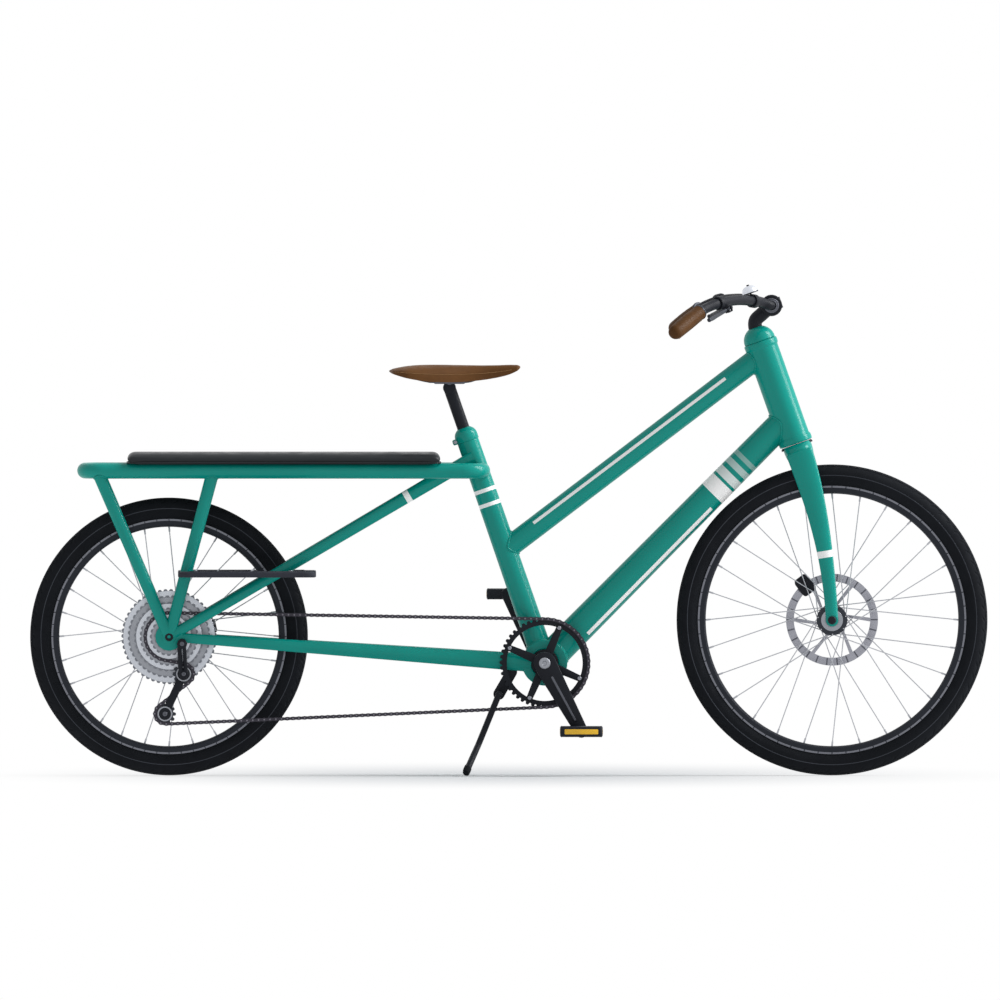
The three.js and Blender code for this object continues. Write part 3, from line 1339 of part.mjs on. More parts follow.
addPiece(crankGroup, 'crank_right', crankRight(), 'black');
addPiece(crankGroup, 'crank_left', crankLeft(), 'black');
addPiece(crankGroup, 'chainring', chainring(), 'black');
addPiece(crankGroup, 'pedal_right', pedal(sides.right), 'black');
addPiece(crankGroup, 'pedal_left', pedal(sides.left), 'black');

// Derailleur: a body on the hanger, and a cage that turns about the guide pulley's axis
function derailleurBody() {
  const outer = -(dropoutInner + dropoutThickness + seatGap);
  const knuckle = crossBar(hangerBolt, knuckleRadius, outer, outer - knuckleRadius * 1.4, tubeSides);
  const cageOuter = -(chainLine + cageHalfWidth + cagePlate + seatGap);
  const lower = crossBar(guidePulley, knuckleRadius, cageOuter, cageOuter - knuckleRadius * 1.6, tubeSides);
  const from = point(hangerBolt.x, outer - knuckleRadius * 0.7, hangerBolt.z);
  const to = point(guidePulley.x, cageOuter - knuckleRadius * 0.8, guidePulley.z);
  const link = straightTube(from, to, knuckleRadius * 0.7, knuckleRadius * 0.75, { count: 8 });
  return cut(join(knuckle, lower, link), dropoutBlock());
}

const dropoutBlock = () => sidePlate(
  linkShape([rearAxle.x, rearAxle.z], dropoutRadius + seatGap, [hangerBolt.x, hangerBolt.z], hangerRadius + seatGap),
  0, -(dropoutInner + dropoutThickness + seatGap));

function derailleurCage() {
  const [from, to] = [[guidePulley.x, guidePulley.z], [tensionPulley.x, tensionPulley.z]];
  const shape = () => linkShape(from, cageEndRadius, to, cageEndRadius * 0.95);
  const plates = [-1, 1].map((way) => sidePlate(shape(),
    -chainLine + way * cageHalfWidth, -chainLine + way * (cageHalfWidth + cagePlate)));
  const reach = cageHalfWidth + cagePlate / 2;
  const pins = [guidePulley, tensionPulley].map((place) => crossBar(
    place, pulleyBolt, -chainLine - reach, reach - chainLine, tubeSides));
  return join(...plates, ...pins);
}

function pulley(index) {
  const shape = toothedShape(pulleyTeeth, wheelPhase(index));
  const bore = new THREE.Path();
  bore.absarc(0, 0, pulleyBolt + runGap, 0, 2 * Math.PI, true);
  shape.holes.push(bore);
  const disc = sidePlate(shape, -chainLine - pulleyThickness / 2, pulleyThickness / 2 - chainLine, 6);
  return moved(disc, wheelsOfChain[index].centre);
}

addPiece(bicycle, 'derailleur_body', derailleurBody(), 'black');
addPiece(bicycle, 'derailleur_cage', derailleurCage(), 'black');
addPiece(bicycle, 'tension_pulley', pulley(2), 'black');
addPiece(bicycle, 'guide_pulley', pulley(3), 'black');

// Brake calipers: a block astride each rotor with a slot for it
function caliper({ centre, radius, angle, place, inward, outward }) {
  const half = caliperLength / 2;
  const outline = roundedRectangle(-caliperDepth * 0.62, -half, caliperDepth * 0.38, half, half / 2);
  const block = sidePlate(outline, place - inward, place + outward, 3);
  const slotHalf = rotorThickness / 2 + runGap;
  const slotRadius = radius + runGap * 2;
  const slot = crossBar(point(-radius, 0, 0), slotRadius, place - slotHalf, place + slotHalf, wheelSides);
  return moved(cut(block, slot).rotateY(-deg(angle)), point(
    centre.x + radius * Math.cos(deg(angle)), 0, centre.z + radius * Math.sin(deg(angle))));
}

function rearCaliper() {
  const block = caliper({
    centre: rearAxle,
    radius: rearRotorRadius,
    angle: rearCaliperAngle,
    place: rearRotorPlace,
    inward: rearCaliperInward,
    outward: rearCaliperOutward,
  });
  const left = sides.left;
  return cut(block, chainstayTube(left, seatGap), seatstayTube(left, seatGap), dropoutClearance(left));
}

function frontCaliper() {
  const block = caliper({
    centre: forkTip,
    radius: frontRotorRadius,
    angle: frontCaliperAngle,
    place: frontRotorPlace,
    inward: frontCaliperInward,
    outward: frontCaliperOutward,
  });
  return cut(block, forkLeg(sides.left), forkLeg(sides.left).translate(-seatGap, 0, 0));
}

addPiece(bicycle, 'rear_caliper', rearCaliper(), 'black');
addPiece(steering, 'front_caliper', frontCaliper(), 'black');

// Seat: post, rail clamp and saddle
const seatTop = onSeatTube(seatTubeLength + seatPostRise);
const seatBottom = onSeatTube(seatTubeEnd - seatPostInsert + seatGap);

function seatPost() {
  const post = straightTube(seatBottom, seatTop, seatPostRadius, seatPostRadius);
  const boreRadius = seatPostRadius - tubeWall;
  const hollow = straightTube(onSeatTube(0), onSeatTube(seatTubeLength), boreRadius, boreRadius);
  return cut(join(post, postHead()), hollow);
}

const postHeadRadius = seatPostRadius * 1.05;
const postHeadHalf = saddleRailSpacing / 2 - saddleRailRadius - runGap;
const postHead = (grow = 0) => crossBar(
  seatTop, postHeadRadius + grow, -postHeadHalf - grow, postHeadHalf + grow);

// The saddle's outline: half width, top and underside, each a share along its length
const saddleStations = [0, 0.04, 0.12, 0.26, 0.42, 0.58, 0.74, 0.9, 1];
const saddleSides = 14;
const saddleTopShares = [0.4, 0.18, 0.05, 0, 0.02, 0.05, 0.06, 0.04, 0.1];
const saddleUnderShares = [0.5, 0.65, 0.86, 1, 0.98, 0.92, 0.78, 0.54, 0.3];
const saddleTaperShares = { from: 0.12, to: 0.72 };
const saddleRearShares = { length: 0.14, fall: 0.7 };
const saddleNoseShares = { length: 0.1, fall: 0.6 };

// Half the saddle's width at a share of its length: wide at the rear, narrow at the nose, both ends rounded
function saddleHalfWidth(share) {
  const ease = THREE.MathUtils.smoothstep(share, saddleTaperShares.from, saddleTaperShares.to);
  const ended = (fromEnd, { length, fall }) => Math.sqrt(1 - Math.max(0, 1 - fromEnd / length) ** 2 * fall);
  const width = saddleRearWidth + (saddleNoseWidth - saddleRearWidth) * ease;
  return (width / 2) * ended(share, saddleRearShares) * ended(1 - share, saddleNoseShares);
}

function saddle() {
  const crest = seatTop.z + saddleRise;
  const rings = saddleStations.map((share, i) => {
    const top = crest - saddleDepth * saddleTopShares[i];
    const under = crest - saddleDepth * saddleUnderShares[i];
    return Array.from({ length: saddleSides }, (_, k) => {
      const angle = (k / saddleSides) * 2 * Math.PI;
      const [c, s] = [Math.cos(angle), Math.sin(angle)];
      const y = saddleHalfWidth(share) * Math.sign(c) * Math.abs(c) ** 0.8;
      const z = (top + under + (top - under) * s) / 2;
      return point(seatTop.x - saddleSetback + share * saddleLength, y, z);
    });
  });
  return loft(rings, (p) => new THREE.Vector2(p.y, p.z));
}

const clampHeight = seatTop.z + postHeadRadius;
const clampHalfLength = saddleClampLength / 2;
const clampHalfHeight = saddleClampHeight / 2;

// The saddle's rails in their clamp: two flat bars, joined by a yoke over the post's head and a bridge
function saddleRails() {
  const plate = roundedRectangle(seatTop.x - clampHalfLength, clampHeight - clampHalfHeight,
    seatTop.x + clampHalfLength, clampHeight + clampHalfHeight, saddleClampBar);
  const half = saddleRailSpacing / 2;
  const bars = [-1, 1].map((way) => sidePlate(
    plate, way * (half - saddleRailRadius), way * (half + saddleRailRadius), 3));
  const yoke = crossBar(point(seatTop.x, 0, clampHeight), saddleClampBar, -half, half, tubeSides);
  const bridge = new THREE.BoxGeometry(saddleBridgeLength, saddleRailSpacing, saddleClampBar);
  bridge.translate(seatTop.x + saddleBridgeReach, 0, clampHeight);
  return cut(join(...bars, bridge, yoke), postHead(seatGap));
}

addPiece(bicycle, 'seatpost', seatPost(), 'black');
addPiece(bicycle, 'saddle_rails', saddleRails(), 'darkGrey');
addPiece(bicycle, 'saddle', cut(saddle(), saddleRailsSpace()), 'leather');

// The room under the saddle for its rails and their clamp
function saddleRailsSpace() {
  const length = saddleClampLength + saddleBridgeLength;
  const depth = saddleClampHeight * 3;
  const room = new THREE.BoxGeometry(length, saddleRailSpacing + saddleBridgeLength, depth);
  return room.translate(seatTop.x, 0, clampHeight + clampHalfHeight + seatGap - depth / 2);
}

// Centre stand: a bracket under the stays, a cross tube and two legs that flare to their feet
const standPivot = point(bracket.x + standPivotReach, 0, bracket.z - standPivotDrop);

function standBracket() {
  const eye = [standPivot.x, standPivot.z];
  const head = [bracket.x - bracketRadius * 1.45, bracket.z - chainstayFootRadius];
  const cheek = linkShape(eye, standPivotRadius + standCheekWall, head, standHeadRadius);
  const half = chainstaySpread + standCheekReach;
  const body = sidePlate(cheek, -half, half);
  const bore = crossBar(standPivot, standPivotRadius + runGap, -overrun * 2, overrun * 2, tubeSides);
  const stays = Object.values(sides).map((side) => chainstayTube(side, seatGap));
  return cut(body, bore, ...stays, bracketSolid(seatGap));
}

function centreStand() {
  const foot = (side) => point(standPivot.x + standFootReach, side * standFootSpread, 0);
  const knee = (side) => point(standPivot.x + standFootReach * 0.6, side * standKneeSpread, standPivot.z * 0.4);
  const hip = (side) => point(standPivot.x, side * standHipSpread, standPivot.z);
  const toe = (side) => foot(side)
    .addScaledVector(foot(side).sub(knee(side)), standLegRadius / standPivot.z);
  const legs = Object.values(sides).map((side) => routedTube(
    [hip(side), knee(side), toe(side)], circleShape(standLegRadius, smallSides)));
  const half = standHipSpread + standLegRadius;
  const tube = crossBar(standPivot, standPivotRadius, -half, half, tubeSides);
  const ground = new THREE.BoxGeometry(overrun * 20, overrun * 20, overrun);
  ground.translate(standPivot.x, 0, -overrun / 2);
  return cut(join(tube, ...legs), ground);
}

addPiece(bicycle, 'stand_bracket', standBracket(), 'black');
addPiece(bicycle, 'centre_stand', centreStand(), 'black');

export default bicycle;
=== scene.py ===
"""Longtail cargo bicycle: every visible piece as a surface worked out in numpy, with procedural finishes.

Lengths are in millimetres until a mesh is made. +X is forward, +Y the rider's left and +Z up.
"""

import json
import logging
import math
from dataclasses import dataclass, replace
from enum import Enum
from typing import ClassVar, Iterable, Sequence

import bmesh
import bpy
import numpy as np
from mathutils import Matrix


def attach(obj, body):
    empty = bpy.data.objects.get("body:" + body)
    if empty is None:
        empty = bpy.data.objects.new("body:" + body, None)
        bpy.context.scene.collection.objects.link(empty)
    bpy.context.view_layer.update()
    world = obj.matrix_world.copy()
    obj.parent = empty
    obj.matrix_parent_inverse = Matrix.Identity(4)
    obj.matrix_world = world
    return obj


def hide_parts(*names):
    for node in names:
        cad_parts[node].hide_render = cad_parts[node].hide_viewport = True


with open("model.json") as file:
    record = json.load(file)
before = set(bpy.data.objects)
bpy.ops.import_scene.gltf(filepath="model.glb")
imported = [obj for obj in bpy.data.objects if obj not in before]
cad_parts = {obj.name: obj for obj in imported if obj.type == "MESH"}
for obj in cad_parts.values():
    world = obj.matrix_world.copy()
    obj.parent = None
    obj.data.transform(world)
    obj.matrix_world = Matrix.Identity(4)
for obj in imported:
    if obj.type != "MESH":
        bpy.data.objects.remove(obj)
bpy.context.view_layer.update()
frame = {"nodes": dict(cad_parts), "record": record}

log = logging.getLogger("cargo_bicycle")
Array = np.ndarray
Row = Sequence[float]
Pair = tuple[float, float]
Triple = tuple[float, float, float]
MM = 0.001
TURN = 2 * math.pi
AHEAD, ACROSS, UP = np.eye(3)
FLAT = np.eye(3)
SIDES = {"right": -1.0, "left": 1.0}
SHARP = 38.0


def unit(vector: Array) -> Array:
    """Scales vectors along their last axis to length one."""
    vector = np.asarray(vector, float)
    return vector / np.linalg.norm(vector, axis=-1, keepdims=True)


def linear(red: float, green: float, blue: float) -> Triple:
    """Turns an 8 bit display colour into Blender's linear values."""
    shares = np.array([red, green, blue]) / 255
    return tuple(np.where(shares <= 0.04045, shares / 12.92, ((shares + 0.055) / 1.055) ** 2.4))


def lap(count: int) -> Array:
    """Angles spread evenly over one turn."""
    return np.arange(count) * TURN / count


def toward(angle: Array | float) -> Array:
    """The plane direction at an angle: its cosine and its sine."""
    return np.stack([np.cos(angle), np.sin(angle)], axis=-1)


def squared(angle: Array, power: float, other: float | None = None) -> tuple[Array, Array]:
    """Cosine and sine of an angle with their signs kept, each raised to a power that squares a ring off."""
    pairs = ((np.cos(angle), power), (np.sin(angle), power if other is None else other))
    return tuple(np.sign(value) * np.abs(value) ** exponent for value, exponent in pairs)


def spun(centre: Row, radius: Array | float, angle: Array, across: Array | float) -> Array:
    """Points at a radius and an angle round a centre in the side view, and at a place across the bicycle."""
    rows = (centre[0] + radius * np.cos(angle), across, centre[2] + radius * np.sin(angle))
    return np.stack(np.broadcast_arrays(*rows), axis=-1)


def through(rows: Sequence[Row], count: int) -> Array:
    """A Catmull-Rom curve through rows of numbers.

    Args:
        rows: the rows that the curve passes, in order.
        count: how many samples it gives.

    Returns:
        An array of count rows, evenly spread over the row numbers.
    """
    table = np.atleast_2d(np.asarray(rows, float))
    last = len(table) - 1
    place = np.linspace(0, last, count)
    cell = np.minimum(place.astype(int), last - 1)
    t = (place - cell)[:, None]
    before, here, after, beyond = (table[np.clip(cell + shift, 0, last)] for shift in (-1, 0, 1, 2))
    return 0.5 * (2 * here + (after - before) * t + (2 * before - 5 * here + 4 * after - beyond) * t**2
                  + (3 * here - before - 3 * after + beyond) * t**3)


def softened(profile: Sequence[Row], radius: float, closed: bool = False, steps: int = 4) -> Array:
    """Rounds a profile's corners: each corner becomes a quadratic curve between points a radius away from it.

    Args:
        profile: the corners, in order.
        radius: how far the rounding reaches along each side, at most 0.45 of that side.
        closed: whether the last corner joins the first.
        steps: samples a corner.

    Returns:
        The rounded profile.
    """
    corners = np.asarray(profile, float)
    into, out = np.roll(corners, 1, axis=0) - corners, np.roll(corners, -1, axis=0) - corners
    long_in, long_out = (np.maximum(np.linalg.norm(v, axis=1, keepdims=True), 1e-9) for v in (into, out))
    start = corners + into / long_in * np.minimum(radius, 0.45 * long_in)
    end = corners + out / long_out * np.minimum(radius, 0.45 * long_out)
    t = np.linspace(0, 1, steps)[None, :, None]
    arcs = (1 - t) ** 2 * start[:, None] + 2 * t * (1 - t) * corners[:, None] + t**2 * end[:, None]
    if closed:
        return arcs.reshape(-1, corners.shape[1])
    return np.vstack([corners[:1], arcs[1:-1].reshape(-1, corners.shape[1]), corners[-1:]])


def circle(radius: float, count: int = 32, centre: Row = (0, 0)) -> Array:
    """Points round a circle in a plane."""
    return np.asarray(centre, float) + radius * toward(lap(count))


def capsule(start: Row, end: Row, first: float, second: float | None = None, count: int = 14) -> Array:
    """The outline round two circles, as on a crank arm.

    Args:
        start: the first circle's centre.
        end: the second circle's centre.
        first: the first radius.
        second: the second radius, or None where it equals the first.
        count: points on each arc.

    Returns:
        The outline's points.
    """
    start, end = np.asarray(start, float), np.asarray(end, float)
    second = first if second is None else second
    run = end - start
    heading, lean = math.atan2(run[1], run[0]), math.acos((first - second) / np.linalg.norm(run))
    return np.vstack([start + first * toward(heading + np.linspace(lean, TURN - lean, count)),
                      end + second * toward(heading + np.linspace(-lean, lean, count))])


def rounded_box(low: Row, high: Row, radius: float) -> Array:
    """The outline of a rectangle with round corners."""
    corners = [(low[0], low[1]), (high[0], low[1]), (high[0], high[1]), (low[0], high[1])]
    return softened(corners, radius, closed=True, steps=7)


@dataclass
class Surface:
    """Points in millimetres, and faces as rows of point numbers."""

    points: Array
    faces: list[Array]

    @staticmethod
    def sheet(points: Array, wrap_u: bool = False, caps: bool = True) -> "Surface":
        """A grid of points as quads, whose last column joins its first.

        Args:
            points: an array (u, v, 3).
            wrap_u: whether the last row joins the first.
            caps: whether open ends along u are filled.

        Returns:
            The surface.
        """
        rows, columns = points.shape[:2]
        number = np.arange(rows * columns).reshape(rows, columns)
        u, v = np.arange(rows if wrap_u else rows - 1)[:, None], np.arange(columns)[None, :]
        next_u, next_v = (u + 1) % rows, (v + 1) % columns
        quads = np.stack([number[u, v], number[u, next_v], number[next_u, next_v], number[next_u, v]], axis=-1)
        faces = [quads.reshape(-1, 4)]
        if caps and not wrap_u:
            faces += [number[0][None, ::-1], number[-1][None, :]]
        return Surface(points.reshape(-1, 3), faces)

    def placed(self, origin: Row, basis: Array) -> "Surface":
        """The surface turned by a basis, whose rows are its new axes, and moved to an origin."""
        return Surface(self.points @ basis + np.asarray(origin, float), self.faces)

    def repeated(self, origins: Array, bases: Array) -> "Surface":
        """Copies of the surface, one for each origin and each basis of three row axes."""
        origins, bases = np.asarray(origins, float), np.asarray(bases, float)
        points = origins[:, None] + np.einsum("pk,nkx->npx", self.points, bases)
        shift = np.arange(len(origins)) * len(self.points)
        faces = [(face[None] + shift[:, None, None]).reshape(-1, face.shape[1]) for face in self.faces]
        return Surface(points.reshape(-1, 3), faces)

    @staticmethod
    def joined(parts: "Surface | Iterable[Surface]") -> "Surface":
        """One or several surfaces as one."""
        parts = [parts] if isinstance(parts, Surface) else list(parts)
        starts = np.cumsum([0] + [len(part.points) for part in parts])
        faces = [face + start for part, start in zip(parts, starts) for face in part.faces]
        return Surface(np.vstack([part.points for part in parts]), faces)


Shape = Surface | Iterable[Surface]


def axes_for(axis: Row, hint: Row = (0, 0, 1)) -> Array:
    """Three unit row axes, the last along the given axis and the first nearest the hint."""
    third = unit(axis)
    first = np.asarray(hint, float) - third * np.dot(hint, third)
    if np.linalg.norm(first) < 1e-6:
        first = np.cross(third, AHEAD)
    first = unit(first)
    return np.array([first, np.cross(third, first), third])


def lathe(profile: Sequence[Row], centre: Row = (0, 0, 0), axis: Row = ACROSS, count: int = 64,
          ring: bool = False) -> Surface:
    """A surface of revolution: a point is the centre, plus its place along the axis, plus its radius in the turned
    direction.

    Args:
        profile: pairs of radius and place along the axis.
        centre: the point that the places are counted from.
        axis: the axis.
        count: steps round.
        ring: whether the profile's last point joins its first.

    Returns:
        The surface, closed at its poles where the radius is 0.
    """
    radius, along = np.asarray(profile, float).T
    first, second, third = axes_for(axis)
    way = toward(lap(count)) @ np.array([first, second])
    points = np.asarray(centre, float) + along[:, None, None] * third + radius[:, None, None] * way[None]
    return Surface.sheet(points, wrap_u=ring)


def collar(inner: float, outer: float, low: float, high: float, ease: float, centre: Row, axis: Row = ACROSS,
           count: int = 64) -> Surface:
    """A turned ring between two radii and two places along its axis, with eased corners; solid without a bore."""
    section = softened([(inner, low), (outer, low), (outer, high), (inner, high)], ease, closed=inner > 0)
    return lathe(section, centre, axis, count, ring=inner > 0)


def sweep(path: Array, depth: Array | float, width: Array | float | None = None, hint: Row = ACROSS,
          count: int = 32, closed: bool = False, power: float = 1.0, nose: Pair = (0, 0)) -> Surface:
    """A tube along a path: each ring lies square to the path, with its width across, nearest the hint, and its depth
    square to that. A ring's point is cos and sin of its angle, raised to a power that squares the ring off.

    Args:
        path: the stations.
        depth: half the depth, one number or one a station.
        width: half the width, or None where it equals the depth.
        hint: the direction that the width follows.
        count: points round a ring.
        closed: whether the path is a loop.
        power: 1 for an ellipse, less for a squarer ring.
        nose: how far a round end stands out at the start and the end.

    Returns:
        The surface.
    """
    path = np.asarray(path, float)
    steps = np.roll(path, -1, axis=0) - path
    if not closed:
        steps[-1] = steps[-2]
    back = np.roll(steps, 1, axis=0)
    if not closed:
        back[0] = steps[0]
    width = depth if width is None else width
    halves = (np.broadcast_to(np.asarray(half, float), len(path)) for half in (depth, width))
    table = np.column_stack([path, *halves, unit(unit(steps) + unit(back))])
    lean = np.linspace(0, math.pi / 2, 7)[1:, None]
    for end, reach in ((0, -nose[0]), (-1, nose[1])):
        if reach:
            cap = np.repeat(table[end][None], len(lean), axis=0)
            cap[:, :3] += reach * np.sin(lean) * cap[:, 5:]
            cap[:, 3:5] *= np.maximum(np.cos(lean), 0.02)
            table = np.vstack([table, cap] if end else [cap[::-1], table])
    path, depth, width, along = np.split(table, (3, 4, 5), axis=1)
    side = unit(hint - along * (along @ np.asarray(hint, float))[:, None])
    c, s = squared(lap(count), power)
    deep, wide = ((half * way)[..., None] for half, way in ((depth, c), (width, s)))
    return Surface.sheet(path[:, None] + deep * np.cross(along, side)[:, None] + wide * side[:, None], wrap_u=closed)


def rods(starts: Array, ends: Array, radius: float, count: int = 8) -> Surface:
    """Straight round rods between pairs of points: each end ring is cos and sin of its angle, square to the rod."""
    starts, ends = np.asarray(starts, float), np.asarray(ends, float)
    along = unit(ends - starts)
    side = unit(np.cross(along, np.where(np.abs(along[:, 1:2]) > 0.8, AHEAD, ACROSS)))
    ring = radius * np.einsum("cd,dnx->ncx", toward(lap(count)), np.array([side, np.cross(along, side)]))
    return Surface.joined(Surface.sheet(np.stack([start, end])[:, None] + turn)
                          for start, end, turn in zip(starts, ends, ring))


def plate(outlines: Sequence[Array], low: float, high: float, bevel: float = 0.6, origin: Row = (0, 0, 0),
          basis: Array | None = None) -> Surface:
    """A flat piece with holes: a filled flat curve with a thickness and rounded edges, made a mesh.

    Args:
        outlines: the outer outline and the holes, as pairs of numbers.
        low: one face's place along the thickness.
        high: the other face's place.
        bevel: the rounding of the edges.
        origin: where the outline's 0, 0 goes.
        basis: the outline's two axes and its thickness axis, as rows. Without it they are +X, +Z and +Y.

    Returns:
        The surface.
    """
    data = bpy.data.curves.new("outline", "CURVE")
    data.dimensions, data.fill_mode = "2D", "BOTH"
    for outline in outlines:
        spline = data.splines.new("POLY")
        spline.points.add(len(outline) - 1)
        rows = np.column_stack([outline, np.zeros(len(outline)), np.ones(len(outline))])
        spline.points.foreach_set("co", rows.astype(np.float32).ravel())
        spline.use_cyclic_u = True
    data.extrude = max(abs(high - low) / 2 - bevel, 1e-3)
    data.bevel_depth, data.offset, data.bevel_resolution = bevel, -bevel, 1
    holder = in_scene("outline", data)
    mesh = bpy.data.meshes.new_from_object(holder.evaluated_get(bpy.context.evaluated_depsgraph_get()))
    points = coordinates(mesh).astype(float)
    faces = [np.array([polygon.vertices[:]]) for polygon in mesh.polygons]
    bpy.data.objects.remove(holder)
    bpy.data.curves.remove(data)
    bpy.data.meshes.remove(mesh)
    points[:, 2] += (low + high) / 2
    return Surface(points, faces).placed(origin, np.array([AHEAD, UP, ACROSS]) if basis is None else basis)


def in_scene(name: str, data: bpy.types.ID) -> bpy.types.Object:
    """A new object of some data, linked to the scene."""
    made = bpy.data.objects.new(name, data)
    bpy.context.scene.collection.objects.link(made)
    return made


def coordinates(mesh: bpy.types.Mesh) -> Array:
    """A mesh's points as an array of rows, in its own unit."""
    points = np.empty(len(mesh.vertices) * 3, np.float32)
    mesh.vertices.foreach_get("co", points)
    return points.reshape(-1, 3)


def bolts(places: Sequence[Row], radius: float, height: float, axis: Row, count: int = 24) -> Surface:
    """Bolt heads with a round recess that all face one way.

    Args:
        places: the middle of each head's foot.
        radius: a head's radius.
        height: its height.
        axis: the way that the heads face.
        count: steps round.

    Returns:
        The heads.
    """
    rim, recess = radius * 0.18, radius * 0.5
    profile = [(0, 0), (radius, 0), (radius, height - rim), (radius - rim, height), (recess, height),
               (recess * 0.9, height * 0.35), (0, height * 0.35)]
    head = lathe(softened(profile, rim * 0.5), axis=UP, count=count)
    return head.repeated(places, np.array([axes_for(axis)] * len(places)))


class Grain(Enum):
    """The fine relief of a finish."""

    PEEL = "the slight waviness of sprayed enamel"
    BRUSHED = "fine turned lines round an axle"
    SPECKLE = "the fine stipple of powder coat and moulded plastic"
    RUBBER = "dull, slightly dusty rubber"
    HIDE = "cells and pores of leather"
    WEAVE = "the fine weave of coated cloth"
    PRISM = "the small prisms of a reflector"


@dataclass(frozen=True)
class Stripe:
    """A band of another colour: where the distance along an axis is near its middle, and, where there are limits,
    between them along a second axis."""

    axis: Triple
    middle: float
    width: float
    along: Triple = (0, 1, 0)
    limits: Pair | None = None
    strength: float = 1.0

    @staticmethod
    def across(point: Row, axis: Row, width: float, strength: float = 1.0) -> "Stripe":
        """A band square to an axis, through a point."""
        return Stripe(tuple(axis), float(np.dot(point, axis)), width, strength=strength)

    @staticmethod
    def between(start: Array, end: Array, width: float) -> "Stripe":
        """A line from one point to another in the side view, laid on both sides of a tube."""
        along = unit(end - start)
        square, limits = square_to(along), (float(start @ along), float(end @ along))
        return Stripe(tuple(square), float(start @ square), width, tuple(along), limits)


def square_to(along: Array) -> Array:
    """The direction square to another one in the side view."""
    return np.array([-along[2], 0.0, along[0]])


class Nodes:
    """Builds a tree of shader nodes."""

    def __init__(self, owner: bpy.types.Material | bpy.types.World) -> None:
        """Takes the tree of a material or a world."""
        owner.use_nodes = True
        self.tree = owner.node_tree

    def feed(self, node: bpy.types.Node, inputs: dict) -> bpy.types.Node:
        """Sets a node's inputs to numbers or links them to sockets."""
        for key, value in inputs.items():
            if isinstance(value, bpy.types.NodeSocket):
                self.tree.links.new(value, node.inputs[key])
            else:
                node.inputs[key].default_value = value
        return node

    def node(self, kind: str, inputs: dict | None = None, **settings: object) -> bpy.types.Node:
        """A new node with its settings and inputs."""
        made = self.tree.nodes.new("ShaderNode" + kind)
        for name, value in settings.items():
            setattr(made, name, value)
        return self.feed(made, inputs or {})

    def known(self, name: str, inputs: dict) -> bpy.types.Node:
        """A node that the tree came with, with its inputs."""
        return self.feed(self.tree.nodes[name], inputs)

    def math(self, operation: str, *values: object) -> bpy.types.NodeSocket:
        """The result of one sum."""
        return self.node("Math", dict(enumerate(values)), operation=operation).outputs[0]

    def vector(self, operation: str, *values: object) -> bpy.types.NodeSocket:
        """The result of one sum of vectors, a number where the sum gives one."""
        made = self.node("VectorMath", dict(enumerate(values)), operation=operation)
        return made.outputs["Value" if operation in ("DOT_PRODUCT", "LENGTH") else "Vector"]


@dataclass(frozen=True)
class Finish:
    """One material: its colour, gloss, relief and stripes."""

    name: str
    slot: str
    colour: Triple
    roughness: float
    metallic: float = 0.0
    grain_scale: float = 1500.0
    grain_depth: float = 1e-5
    mottle: float = 0.08
    grain: Grain = Grain.SPECKLE
    mottle_scale: float = 9.0
    specular: float = 0.14
    coat: float = 0.0
    coat_roughness: float = 0.12
    sheen: float = 0.0
    axle: Triple = (0, 0, 0)
    stripes: tuple[Stripe, ...] = ()

    def material(self) -> bpy.types.Material:
        """The material, made once and kept by name."""
        known = bpy.data.materials.get(self.name)
        return known if known else FinishNodes(self).made()


